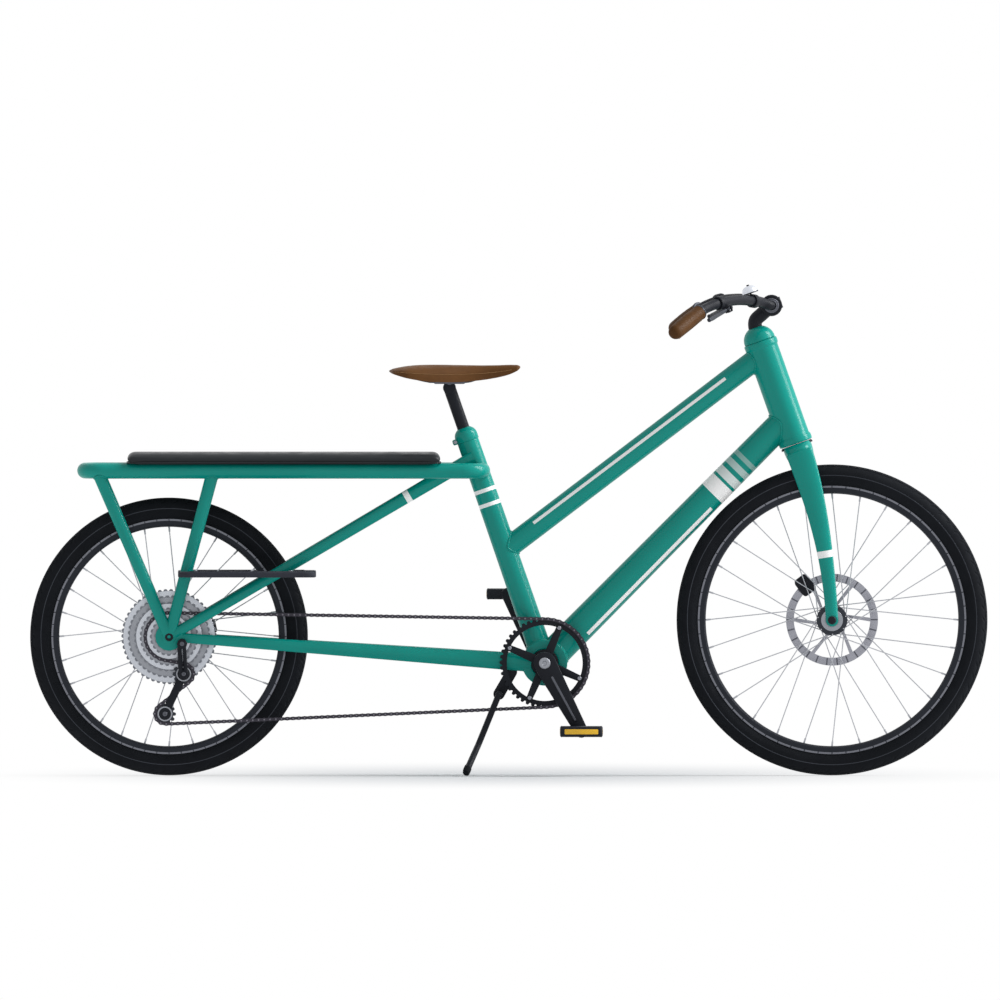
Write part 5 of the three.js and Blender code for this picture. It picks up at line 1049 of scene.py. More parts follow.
@dataclass
class Wheel(Assembly):
    """One wheel: tyre, rim, hub, crossed spokes and brake rotor, about its own axle."""

    name: str
    centre: Array
    radius: float
    hub_width: float
    flange_radius: float
    flanges: Pair
    rotor_radius: float
    rotor_place: float
    tread_blocks: int
    shell: Finish
    tyre_height: float = 51.0
    tyre_half: float = 25.0
    tyre_wall: float = 5.0
    groove: float = 1.3
    rim_half: float = 17.0
    rim_depth: float = 13.0
    spoke_count: int = 28
    spoke_lean: float = 62.0
    spoke_radius: float = 1.15
    rotor_band: float = 17.6

    @property
    def body(self) -> str:
        """The body that the wheel is."""
        return f"{self.name}_wheel"

    def build(self) -> None:
        """Builds the wheel's pieces in order."""
        for make in (self.tyre, self.rim, self.hub, self.spokes, self.rotor):
            make()

    def turned(self, profile: Array, count: int = 128, ring: bool = True) -> Surface:
        """A profile turned about the axle."""
        return lathe(profile, self.centre, ACROSS, count, ring)

    def wall(self, lean: Array | float, inset: float = 0.0) -> Array:
        """Radius and place across of the tyre's section at an angle, as its sine and cosine."""
        half = self.tyre_height / 2
        rows = (self.radius - half + (half - inset) * np.sin(lean), (self.tyre_half - inset) * np.cos(lean))
        return np.stack(rows, axis=-1)

    def tyre(self) -> None:
        """The tyre: radius and width are sine and cosine of the section's angle, with grooves let into the tread
        where a slanted pattern says so, and a moulded ridge low on each wall."""
        start = -math.acos((self.rim_half - 2.4) / self.tyre_half)
        angle = np.linspace(start, math.pi - start, 61)
        around = np.arange(self.tread_blocks * 8)
        off = np.abs(angle - math.pi / 2)
        lane = np.where(off < 0.14, 0, np.where(off < 0.52, 1, 2))
        groove = np.isin(around % 8, (0, 1)) & ((lane > 0) & (off < 0.98))[:, None]
        groove |= ((np.abs(off - 0.14) < 0.035) | (np.abs(off - 0.56) < 0.035))[:, None]
        ridges = [0.7 * np.exp(-((rise - 0.62) / 0.035) ** 2) for rise in (angle - start, math.pi - start - angle)]
        inset = self.groove * groove - sum(ridges)[:, None]
        radius, across = np.moveaxis(self.wall(angle[:, None], inset), -1, 0)
        turn = around * TURN / len(around) + (off * 0.09 * (lane - 1))[:, None]
        outer = Surface.sheet(spun(self.centre, radius, turn, across), caps=False)
        inner = self.wall(np.linspace(math.pi - start, start, 17), self.tyre_wall)
        lining = self.turned(np.vstack([self.wall(math.pi - start), inner, self.wall(start)]), len(around), ring=False)
        lining.faces = lining.faces[:1]
        self.put(f"{self.name}_tyre_tread", [outer, lining], Finishes.tyre, f"{self.name}_tyre", sharp=30.0)
        r, y = self.wall(start + 1.02)
        line = softened([(r - 0.9, y - 1), (r + 0.9, y - 1), (r + 0.9, y + 0.45), (r - 0.9, y + 0.1)], 0.2, closed=True)
        lines = [self.turned(line * [1, way], 160) for way in (-1, 1)]
        self.put(f"{self.name}_tyre_line", lines, Finishes.graphite)

    def rim(self) -> None:
        """The rim: a box section with two flanges and a well, and a pale track on each wall with fine ticks cut in
        it."""
        seat = self.radius - self.tyre_height - 0.3
        flange, inner, w = seat + 5.5, seat - self.rim_depth, self.rim_half
        profile = softened([(flange, w - 1.8), (flange, w), (inner + 4, w), (inner, w * 0.62), (inner, -w * 0.62),
                            (inner + 4, -w), (flange, -w), (flange, 1.8 - w), (seat - 5.5, 1.8 - w),
                            (seat - 5.5, w - 1.8)], 1.4, closed=True)
        self.put(f"{self.name}_rim_section", self.turned(profile, 192), Finishes.rim, f"{self.name}_rim")
        turn = lap(240)
        tick = np.where(np.arange(240) % 4 == 0, -0.35, 0.0)
        corners = ((5.2, w - 0.6), (4.9, w + 0.3 + tick), (1.0, w + 0.3 + tick), (0.7, w - 0.6))
        tracks = [Surface.sheet(np.array([spun(self.centre, flange - drop, turn, way * out) for drop, out in corners]),
                                wrap_u=True) for way in (-1, 1)]
        self.put(f"{self.name}_rim_track", tracks, Finishes.track)

    def hub(self) -> None:
        """The hub: a turned shell with a flange for each row of spokes."""
        end, f = self.hub_width / 2 - 0.4, self.flange_radius
        right, left = self.flanges
        profile = softened([(6.6, -end), (12, -end), (15, right - 6), (f * 0.72, right - 2.8), (f, right - 2.2),
                            (f, right + 2.2), (f * 0.72, right + 2.6), (15, right + 9), (14, 0), (15, left - 9),
                            (f * 0.72, left - 2.6), (f, left - 2.2), (f, left + 2.2), (22, left + 3.0),
                            (21, self.rotor_place + 1.4), (12, end), (6.6, end)], 1.5, closed=True)
        self.put(f"{self.name}_hub_shell", self.turned(profile, 72), self.shell, f"{self.name}_hub")

    def spokes(self) -> None:
        """Crossed spokes, every second one leaning the other way, each with its bent head at the flange and its
        nipple at the rim."""
        number = np.arange(self.spoke_count)
        flange = np.where(number % 2 == 0, *self.flanges)
        lean = np.where(number // 2 % 2 == 0, 1, -1)
        at_rim = lap(self.spoke_count)
        at_hub = at_rim + lean * math.radians(self.spoke_lean)
        starts = spun(self.centre, self.flange_radius - 2.5, at_hub, flange + lean * 1.3)
        rim = self.radius - self.tyre_height - self.rim_depth
        ends = spun(self.centre, rim, at_rim, np.sign(flange) * 2.2 + lean * 1.3)
        along = unit(ends - starts)
        parts = [rods(starts, ends, self.spoke_radius), rods(starts - ACROSS * 3.2, starts + ACROSS * 3.2, 1.5),
                 rods(ends - along * 11, ends + along, 2.0)]
        self.put(f"{self.name}_spokes", parts, Finishes.spoke)

    def rotor(self) -> None:
        """The brake rotor: a ring on six thin slanted arms, with dark radial marks on its faces as painted shade for
        slots that are not cut, and its six bolts.
        """
        radius, place = self.rotor_radius, self.rotor_place
        inner = radius - self.rotor_band
        # dark marks standing just proud of the disc, not cut through: painted shade for the slots
        marks = [plate([capsule(way * (inner + 2.4), way * (radius - 2.0), 1.6, count=5)], place - 1.15, place + 1.15,
                       0.1, self.centre) for way in toward(lap(26))]
        self.put(f"{self.name}_rotor_slots", marks, Finishes.slot)
        sixth = TURN / 6
        windows = [np.vstack([inner * toward(np.linspace(start + 0.05, start + sixth - 0.05, 16)),
                              27.0 * toward(np.linspace(start + sixth + 0.22, start + 0.46, 6))]) for start in lap(6)]
        disc = plate([circle(radius - 0.3, 160), circle(15, 40), *windows], place - 1, place + 1, 0.2, self.centre)
        finish = replace(Finishes.rotor, name=f"{self.name}_rotor_steel", axle=tuple(self.centre * MM))
        self.put(f"{self.name}_rotor_disc", disc, finish, f"{self.name}_rotor")
        heads = bolts(spun(self.centre, 18, lap(6), place + 0.8), 3.4, 2.2, ACROSS, 16)
        self.put(f"{self.name}_rotor_bolts", heads, Finishes.graphite)


@dataclass
class Steering(Assembly):
    """Fork, stem, handlebar, grips, brake levers and bell, all in the steering's own frame."""

    body: ClassVar[str] = "steering"
    axle: Triple = (-55.2, 0.0, -391.8)
    clamp: Triple = (50.2, 0.0, 304.8)
    bar_size: Triple = (223.0, 323.0, 45.6)
    bar_radius: float = 11.1
    grip_radius: float = 17.5
    grip_length: float = 104.0
    lever_hinge: Triple = (-41.92, 193.8, 331.94)
    lever_share: Triple = (0.47, 1, 0.6)
    bell_share: Triple = (0.15, 0.5, 0.235)
    bell_radii: Pair = (17.6, 16.2)
    bar_shares: tuple[Triple, ...] = (
        (0, 0, 0.075), (0.03, 0.1, 0.1), (0.09, 0.32, 0.14), (0.18, 0.58, 0.27), (0.31, 0.84, 0.43),
        (0.47, 1, 0.6), (0.61, 0.99, 0.7), (0.683, 0.915, 0.768))
    bar_end: Triple = (0.99, 0.395, 0.99)

    def bar_point(self, share: Row, side: float) -> Array:
        """A place on the bar from shares of its reach back, its rise and its half width."""
        back, out, rise = self.bar_size
        return np.array([self.clamp[0] - share[0] * back, side * share[2] * out, self.clamp[2] + share[1] * rise])

    def bar_line(self, side: float, count: int = 90) -> Array:
        """One side of the bar from the clamp to where the grip starts."""
        return through([self.bar_point(row, side) for row in self.bar_shares], count)

    def on_bar(self, share: Row, side: float) -> tuple[Array, Array]:
        """The bar's station nearest to a place on it, and the way that the bar runs there."""
        line = self.bar_line(side, 240)
        near = int(np.argmin(np.linalg.norm(line - self.bar_point(share, side), axis=1)))
        return line[near], unit(line[near + 1] - line[near - 1])

    def put(self, name: str, parts: Shape, finish: Finish, *stands_for: str,
            body: str | None = None, sharp: float = SHARP) -> bpy.types.Object:
        """Makes a piece of surfaces that are written in the steering's frame."""
        placed = Surface.joined(parts).placed(HEAD_FOOT, STEER_BASIS)
        return super().put(name, placed, finish, *stands_for, body=body, sharp=sharp)

    def build(self) -> None:
        """Builds the steering's pieces in order."""
        self.fork()
        self.stem()
        self.bar()
        for name, side in SIDES.items():
            self.grip(name, side)
            self.brake_lever(name, side)
        self.bell()
        caliper = caliper_shape(FRONT, 101.5, 128.0, 37.0, (-9.0, 14.0))
        super().put("front_caliper_body", caliper, Finishes.satin, "front_caliper")

    def fork(self) -> None:
        """The fork: oval legs that narrow and sweep back, a crown of squared rings, round tips and the axle."""
        share = np.linspace(0, 1, 44)
        depth = np.interp(share, np.linspace(0, 1, 7), [1, 0.9, 0.76, 0.64, 0.53, 0.47, 0.45])
        depth = np.convolve(np.pad(depth, 4, mode="edge"), np.ones(9) / 9, mode="valid")
        parts, nuts, washers = [], [], []
        for side in SIDES.values():
            line = np.column_stack([-55.2 * share**2, side * (47 + 9.5 * share), -19.3 - 372.5 * share])
            parts += [sweep(line, 30 * depth, 6 * (1 + depth / 2), count=40, nose=(4, 0)),
                      collar(6.6, 13.5, side * 50.4, side * 63.4, 1.6, self.axle, count=56)]
            head = softened([(0, 63.6), (9, 63.6), (9, 68), (7, 70.0), (0, 70.0)], 1.2)
            nuts.append(lathe(head * [1, side], self.axle, count=40))
            ring = softened([(13.6, 49.2), (24, 49.2), (24, 49.9), (13.6, 50.3)], 0.3, closed=True)
            washers.append(lathe(ring * [1, side], self.axle, count=56, ring=True))
        rows = through([(0.70, 1.02, 0), (0.86, 1.06, 0.14), (0.97, 1.06, 0.36), (1.0, 1.02, 0.68), (0.95, 0.92, 0.95),
                        (0.80, 0.62, 1.16)], 26)
        c, s = squared(lap(56), 0.78)
        height = np.broadcast_to(-1.4 - 36 * rows[:, 2:], (26, 56))
        parts.append(Surface.sheet(np.stack([30 * rows[:, 1:2] * c, 53 * rows[:, :1] * s, height], axis=-1)))
        self.put("fork_painted", parts, Finishes.fork(), "fork", sharp=50.0)
        race = softened([(16, -1.2), (34, -1.2), (36, -4), (36, -7), (16, -7)], 1.0, closed=True)
        self.put("crown_race", lathe(race, axis=UP, ring=True), Finishes.satin)
        rod = rods(self.axle - ACROSS[None] * 63, self.axle + ACROSS[None] * 63, 5.9, 24)
        self.put("front_axle_rod", [*nuts, rod], Finishes.satin, "front_axle")
        self.put("hub_end_rings", washers, Finishes.alloy_dark, body="front_wheel")

    def stem(self) -> None:
        """The stem: a round quill that bends forward into a clamp, with the clamp's bolts and end rings."""
        path = through([(0, 0, 236), (0, 0, 256), (0.4, 0, 272), (7, 0, 286), (24, 0, 294), self.clamp], 40)
        quill = sweep(path, np.linspace(15, 15.6, 40), count=40)
        self.put("stem_body", [quill, collar(11.6, 23.5, -22, 22, 3.0, self.clamp)], Finishes.satin, "stem")
        places = [(self.clamp[0] + 18, y, self.clamp[2] + z) for y in (-13, 13) for z in (-9, 9)]
        self.put("stem_bolts", bolts(places, 3.6, 5, AHEAD, 20), Finishes.graphite)
        ring = softened([(11.4, 21.6), (16.5, 21.6), (16.5, 22.6), (15.5, 23.4), (11.4, 23.4)], 0.4, closed=True)
        rings = [lathe(ring * [1, way], self.clamp, count=48, ring=True) for way in SIDES.values()]
        self.put("clamp_rings", rings, Finishes.cap)

    def bar(self) -> None:
        """The handlebar: one round tube along a smooth line from grip to grip."""
        ends = [self.bar_point(self.bar_end, side) for side in (-1, 1)]
        line = np.vstack([ends[0], self.bar_line(-1)[::-1], self.bar_line(1), ends[1]])
        self.put("handlebar_tube", sweep(line, self.bar_radius, hint=UP), Finishes.satin, "handlebar")
        self.put("bar_sleeve", collar(10, 12.4, -31, 31, 0.8, self.clamp, count=40), Finishes.cap)

    def grip(self, name: str, side: float) -> None:
        """A leather grip: a turned sleeve, fuller at its middle, with a ring at its inner end and a sewn seam below."""
        start, end = self.bar_point(self.bar_shares[-1], side), self.bar_point(self.bar_end, side)
        along = unit(end - start)
        r, length = self.grip_radius, self.grip_length
        sleeve = softened([(11.3, 0.4), (r - 2, 0.4), (r - 0.6, 3), (r - 1.4, 12), (r - 0.3, length * 0.35),
                           (r - 0.2, length * 0.6), (r - 1.0, length - 12), (r - 1.6, length - 4),
                           (r - 5.5, length + 3), (r - 11, length + 6.4), (0, length + 7.4)], 5.0, steps=6)
        self.put(f"grip_{name}_leather", lathe(sleeve, start, along), Finishes.grip, f"grip_{name}")
        ring = softened([(11.3, -1.6), (r - 1, -1.6), (r - 0.4, 0.4), (r - 0.4, 2.6), (11.3, 2.6)], 0.6, closed=True)
        self.put(f"grip_{name}_ring", lathe(ring, start, along, 56, ring=True), Finishes.graphite)
        basis = axes_for(along, -UP)
        places = start + np.linspace(9, length - 8, 19)[:, None] * along + basis[0] * (r - 0.9)
        line = [[-1.0, -2.6, -0.8], [0.5, -1.4, -0.4], [0.7, 0, 0], [0.5, 1.4, 0.4], [-1.0, 2.6, 0.8]]
        stitch = sweep(line, 0.55, hint=UP, count=6)
        self.put(f"grip_{name}_seam", stitch.repeated(places, np.array([basis] * len(places))), Finishes.thread)

    def brake_lever(self, name: str, side: float) -> None:
        """A brake lever: a clamp on the bar with a forked body and its pin, and a flattened curved blade.

        Args:
            name: the side's name.
            side: -1 for the right and 1 for the left.
        """
        hinge = np.array(self.lever_hinge) * [1, side, 1]
        place, along = self.on_bar(self.lever_share, side)
        down = unit(hinge - place)
        arm = [place + down * 12, place + down * 14, hinge + UP * 6.5]
        back = np.array([[7.2, 0, 7], [8.2, 0, 0], [7.2, 0, -7]])
        parts = [collar(11.5, 15.2, -8.5, 8.5, 1.2, place, along, 48),
                 sweep(arm, [9, 8.5, 8], 7.0, hint=along, count=28, power=0.8),
                 *(collar(3, 8, low, low + 3.6, 0.8, hinge, UP, 40) for low in (4.4, -8.0)),
                 sweep(hinge + back * [1, side, 1], 2.2, 6.0, count=16, power=0.7),
                 rods([hinge - UP * 8.6], [hinge + UP * 8.6], 3.0, 20)]
        self.put(f"brake_mount_{name}_body", parts, Finishes.satin, f"brake_mount_{name}")
        share = through([(0, 0, 0), (0.28, 0.2, 0.25), (0.55, 0.5, 0.45), (0.8, 0.78, 0.66), (1, 1, 0.8)], 36)
        path = hinge + share * [-44, side * 92, -10]
        wide = np.interp(np.linspace(0, 1, 36), [0, 0.2, 0.85, 1], [3.0, 5.0, 5.4, 4.4])
        knob = softened([(0, -5.0), (4.4, -3.4), (5.0, 0), (4.4, 3.4), (0, 5.0)], 2.0)
        blade = [sweep(path, 2.5, wide * 0.9, hint=UP, count=20, nose=(0, 3)),
                 lathe(knob, path[-1] + [-2, side * 3, 0], UP, 28), collar(3.3, 7.4, -3.0, 3.0, 0.8, hinge, UP, 40)]
        self.put(f"brake_lever_{name}_blade", blade, Finishes.graphite, f"brake_lever_{name}",
                 body=f"brake_lever_{name}_turn")

    def bell(self) -> None:
        """The bell: a thin round dome with a dark foot ring on a post and band, and its thumb lever."""
        seat, along = self.on_bar(self.bell_share, -1)
        base = seat + UP * 15.1
        c, s = squared(np.linspace(0, math.pi / 2, 14), 0.8, 0.92)
        outer, inner = (np.column_stack([radius * c, 3.6 + (radius - 0.8) * s]) for radius in self.bell_radii)
        self.put("bell_dome", lathe(np.vstack([outer, inner[::-1]]), base, UP, ring=True), Finishes.bell, "bell")
        hinge = base + [-19.9, 0, -4]
        parts = [collar(16.2, 18.2, 2.4, 5.0, 0.4, base, UP), collar(11.4, 15, -8.5, 8.5, 1.2, seat, along, 44),
                 plate([capsule((0, 0), (-19.9, 0), 8, 4)], -3, 0, 0.6, base - UP * 4.5, FLAT),
                 rods([base - UP * 8, hinge - UP * 2], [base + UP * 19.5, hinge + UP * 2.6], 2.2, 20),
                 bolts([base + UP * 20.4], 3.2, 2.2, UP, 20)]
        self.put("bell_base", parts, Finishes.satin)
        arm = plate([capsule((0, 0), (-15.6, 0), 5, 6), circle(3.1, 24)], 0, 1.6, 0.4, hinge, FLAT)
        pad = softened([(0, 1.2), (5.2, 1.2), (5.4, 2.6), (4.2, 4.0), (0, 4.6)], 1.0)
        parts = [arm, lathe(pad, hinge + [-15.6, 0, 0], UP, 32)]
        self.put("bell_thumb_lever", parts, Finishes.satin, "bell_lever", body="bell_lever_turn")


def caliper_shape(axle: Array, radius: float, angle: float, place: float, reach: Pair) -> list[Surface]:
    """A brake caliper: two bevelled halves astride the rotor, a bridge outside its rim and two bolts.

    Args:
        axle: the wheel's centre.
        radius: the rotor's radius.
        angle: the caliper's place round the rotor, in degrees from +X towards +Z.
        place: the rotor's place across.
        reach: how far the caliper reaches inwards and outwards of the rotor.

    Returns:
        The surfaces.
    """
    turn = math.radians(angle)
    out = np.array([math.cos(turn), 0.0, math.sin(turn)])
    basis = np.array([out, square_to(out), ACROSS])
    origin = axle + out * radius
    low, high = place + reach[0], place + reach[1]
    half, bridge = rounded_box((-27, -17), (15, 17), 9), rounded_box((2.5, -15), (16.5, 15), 6)
    piston = softened([(0, -0.5), (10.5, -0.5), (10.5, 2.4), (8.4, 3.4), (0, 3.4)], 1.0) + [0, high]
    heads = [origin + [9, way * 10, high - 0.6] @ basis for way in (-1, 1)]
    return [plate([half], place + 1.6, high, 2.4, origin, basis), plate([half], low, place - 1.6, 1.8, origin, basis),
            plate([bridge], low + 1, high - 1, 2.0, origin, basis), lathe(piston, origin - out * 10, count=40),
            bolts(heads, 3.6, 3.0, ACROSS, 20)]


@dataclass
class Seat(Assembly):
    """Seat post, rail clamp and leather saddle."""

    body: ClassVar[str] = "seat"
    post_radius: float = 13.6
    post_rises: Pair = (398.0, 640.0)
    tail_x: float = -263.6
    length: float = 289.0
    half_widths: Pair = (76.0, 18.0)
    leather: float = 4.0
    top_line: tuple[Pair, ...] = (
        (0, 892.4), (0.06, 896.6), (0.14, 900.6), (0.25, 903.0), (0.4, 903.3), (0.55, 902.6), (0.7, 902.0),
        (0.82, 902.3), (0.92, 903.2), (1, 902.8))
    low_line: tuple[Pair, ...] = (
        (0, 886.4), (0.06, 880.6), (0.14, 874.2), (0.25, 868.6), (0.36, 865.9), (0.5, 865.4), (0.62, 867.2),
        (0.74, 871.0), (0.85, 876.8), (0.93, 883.6), (1, 893.6))

    def build(self) -> None:
        """Builds the post, the rails with their clamp and the saddle."""
        foot, top = (on_seat(rise) for rise in self.post_rises)
        post = sweep(np.linspace(foot, top, 8), self.post_radius, count=48)
        self.put("seat_post_tube", [post, collar(0, 14.2, -18, 18, 2.4, top, count=56)], Finishes.satin, "seatpost")
        self.rails(top)
        self.saddle()

    def rails(self, top: Array) -> None:
        """The saddle's two steel rails, bent up at both ends, and the grey clamp that holds them."""
        z = top[2] + 14.3
        line = through([(-228, 30, 884), (-205, 28, 874), (-178, 23, z + 1), (-165, 22, z), (-96, 22, z),
                        (-72, 17, z + 5), (-45, 11, 876), (-15, 8, 882), (2, 7, 888)], 60)
        wires = [sweep(line * [1, side, 1], 3.4, hint=UP, count=16) for side in SIDES.values()]
        self.put("saddle_rail_wires", wires, Finishes.graphite, "saddle_rails")
        shoe = rounded_box((top[0] - 35, z - 5.6), (top[0] + 35, z + 5.6), 5)
        cheeks = [plate([shoe], side * 18.6, side * 25.4, 1.6) for side in SIDES.values()]
        places = np.array([(top[0] + x, 0, z + 1) for x in (-18, 18)])
        yoke = collar(0, 7, -22, 22, 1.4, (top[0], 0, z - 1), count=32)
        ties = rods(places - ACROSS * 20, places + ACROSS * 20, 4.0, 16)
        self.put("rail_clamp", [*cheeks, yoke, ties], Finishes.cap)

    def skin(self, share: Array, angle: Array, inset: float = 0.0) -> Array:
        """The saddle's skin: along its length the half width narrows smoothly from the rear to the nose, and the
        top and lower edge follow the side view; across, the height falls with a power of the cosine.

        Args:
            share: places along the saddle from 0 to 1.
            angle: angles from the right edge to the left one.
            inset: how far the skin lies inside the outer one.

        Returns:
            An array (shares, angles, 3).
        """
        ease = np.clip((share - 0.10) / 0.72, 0, 1)
        ease = ease * ease * (3 - 2 * ease)
        rear = np.sqrt(1 - np.clip(1 - share / 0.16, 0, 1) ** 2 * 0.88)
        close = np.minimum(share / 0.035, (1 - share) / 0.03).clip(0, 1)
        close = np.sqrt(np.maximum(1 - (1 - close) ** 2, 0.02))
        wide, narrow = self.half_widths
        width = (wide + (narrow - wide) * ease) * rear * close - inset * close
        lines = (through(heights, 240) for heights in (self.top_line, self.low_line))
        top, low = (np.interp(share, *line.T) for line in lines)
        middle = (top + low) / 2
        top, low = (middle + (edge - middle) * close for edge in (top, low))
        fall, sway = squared(angle, 0.55, 0.9)
        z = low[:, None] + (top - low)[:, None] * fall - inset * fall
        x = np.broadcast_to(self.tail_x + share[:, None] * self.length, z.shape)
        return np.stack([x, width[:, None] * sway, z], axis=-1)

    def saddle(self) -> None:
        """The saddle: a thin leather shell, its lower edge rolled in, with a sewn line along each side."""
        share = (1 - np.cos(np.linspace(0, math.pi, 96))) / 2
        angle = np.linspace(-math.pi / 2, math.pi / 2, 61)
        inner = self.skin(share, angle, self.leather)[:, ::-1]
        tail = self.tail_x
        inner[..., 0] = (inner[..., 0] - tail) * (1 - 2 * self.leather / self.length) + tail + self.leather
        shell = Surface.sheet(np.concatenate([self.skin(share, angle), inner], axis=1))
        self.put("saddle_leather", shell, Finishes.hide, "saddle", sharp=60.0)
        rows = self.skin(np.linspace(0.05, 0.94, 74), np.array([-1.33, 1.33]))
        steps = np.diff(rows, axis=0)
        line = [[-0.9, 0, -1.5], [0.35, 0, -0.9], [0.45, 0, 0], [0.35, 0, 0.9], [-0.9, 0, 1.5]]
        for number, (name, side) in enumerate(SIDES.items()):
            along = unit(steps[:, number])
            out = unit(np.cross(along, UP) * -side)
            stitch = sweep(line, 0.5, count=6)
            bases = np.stack([out, np.cross(along, out), along], axis=1)
            self.put(f"saddle_seam_{name}", stitch.repeated(rows[:-1, number] + out * 0.2, bases), Finishes.thread)
        bridge = self.skin(np.array([0.04, 0.10]), np.linspace(-1.1, 1.1, 31), 4.6)
        cantle = Surface.sheet(np.concatenate([bridge, (bridge - UP * 2.4)[:, ::-1]], axis=1))
        self.put("saddle_cantle", cantle, Finishes.graphite)


@dataclass
class DriveTrain(Assembly):
    """Cranks, chainring, chain, cassette, pedals and derailleur."""

    pitch: float = 12.7
    chainring_teeth: int = 48
    pulley_teeth: int = 11
    sprockets: tuple[int, ...] = (51, 44, 37, 31, 26, 20, 15, 11)
    driven: int = 4
    spacing: float = 4.8
    chain_line: float = 50.0
    crank_length: float = 170.0
    crank_angle: float = -61.6
    spider_angles: tuple[float, ...] = (67.4, 156.9, 246.7, 336.2)
    pedal_ends: Pair = (90.4, 181.8)

    @property
    def wheels(self) -> tuple[tuple[Array, int, float], ...]:
        """The chain's wheels in the order in which it runs: centre, teeth and the way each one turns."""
        return ((REAR, self.sprockets[self.driven], 1.0), (BRACKET, self.chainring_teeth, 1.0),
                (TENSION, self.pulley_teeth, 1.0), (GUIDE, self.pulley_teeth, -1.0))

    def pitch_radius(self, teeth: int) -> float:
        """The radius at which a wheel holds the chain's rollers."""
        return self.pitch / (2 * math.sin(math.pi / teeth))

    def route(self) -> tuple[Array, Array, list[float]]:
        """The chain's line: arcs on its wheels and straight runs that touch both of a pair.

        Returns:
            The route's points in the side view, how many pitches each is along, and each wheel's roller angle.
        """
        headings, lengths = [], []
        for (centre, teeth, way), (other, next_teeth, next_way) in zip(self.wheels, self.wheels[1:] + self.wheels[:1]):
            run = other - centre
            far = math.hypot(run[0], run[2])
            change = way * self.pitch_radius(teeth) - next_way * self.pitch_radius(next_teeth)
            headings.append(math.atan2(run[2], run[0]) - math.asin(change / far))
            lengths.append(math.sqrt(far**2 - change**2))
        points, marks, phases = [], [], []
        travelled = 0.0
        for i, (centre, teeth, way) in enumerate(self.wheels):
            swept = ((headings[i - 1] - headings[i]) * way) % TURN
            entry = headings[i - 1] + way * math.pi / 2
            phases.append(entry + way * travelled * TURN / teeth)
            angle = entry - way * np.linspace(0, swept, 60)
            pitches = swept * teeth / TURN
            points.append(centre[[0, 2]] + self.pitch_radius(teeth) * toward(angle))
            marks.append(travelled + np.linspace(0, pitches, 60))
            travelled += pitches + lengths[i] / self.pitch
        return np.vstack([*points, points[0][:1]]), np.append(np.concatenate(marks), travelled), phases

    def build(self) -> None:
        """Builds the drive train's pieces in order."""
        points, marks, phases = self.route()
        self.chain(points, marks)
        self.cassette(phases[0])
        self.chainring(phases[1])
        self.cranks()
        for name, side in SIDES.items():
            self.pedal(name, side)
        self.derailleur(phases)

    def tooth_ring(self, teeth: int, phase: float, inner: float, place: float, thick: float, centre: Row,
                   rise: float = 2.0, fall: float = 4.0) -> Surface:
        """A toothed ring: its outer radius rises between the rollers as a wave cut flat at its top and foot, and its
        teeth thin to their tips. A ring of six corners is carried round the axle.

        Args:
            teeth: how many teeth.
            phase: the angle of a roller.
            inner: the bore's radius.
            place: the ring's place across.
            thick: its thickness.
            centre: its centre.
            rise: how far the tips stand out past the rollers' circle.
            fall: how far the teeth's feet lie inside it.

        Returns:
            The ring.
        """
        step = np.arange(teeth * 8)
        wave = np.clip((0.5 - 0.5 * np.cos(step * TURN / 8)) / 0.55 - 0.12, 0, 1)
        foot = self.pitch_radius(teeth) - fall
        tip, root = foot + (fall + rise) * wave, foot - 0.6
        corners = ((inner, -0.5), (root, -0.5), (tip, -0.22), (tip, 0.22), (root, 0.5), (inner, 0.5))
        angle = phase + lap(len(step))
        return Surface.sheet(np.array([spun(centre, r, angle, place + y * thick) for r, y in corners]), wrap_u=True)

    def chain(self, points: Array, marks: Array) -> None:
        """The chain: a pin and a roller at each pitch, and wide and narrow pairs of waisted plates in turn."""
        number = np.arange(int(round(marks[-1])) + 1)
        x, z = (np.interp(number, marks * number[-1] / marks[-1], line) for line in points.T)
        places = np.column_stack([x, np.full(len(x), -self.chain_line), z])
        along = unit(np.diff(places, axis=0))
        bases = np.stack([along, np.cross(along, ACROSS), np.broadcast_to(ACROSS, along.shape)], axis=1)
        ends = 4.1 * toward(np.linspace(math.pi / 2, 1.5 * math.pi, 6))
        far, half = ends[::-1] * [-1, 1] + [self.pitch, 0], self.pitch / 2
        outline = np.vstack([ends, [half, -3.1], far, [half, 3.1]])
        parts = []
        for parity, offsets in ((0, (2.65, 3.5)), (1, (1.75, 2.55))):
            for side in (-1, 1):
                link = Surface.sheet(np.stack([np.insert(outline, 2, side * y, axis=1) for y in offsets]))
                parts.append(link.repeated(places[parity:-1:2], bases[parity::2]))
        self.put("chain_plates", parts, Finishes.chain, "chain", sharp=30.0)
        middle = places[:-1]
        parts = [rods(middle - ACROSS * reach, middle + ACROSS * reach, radius, count)
                 for reach, radius, count in ((1.7, 3.9, 10), (4.0, 1.8, 8))]
        self.put("chain_rollers", parts, Finishes.roller)

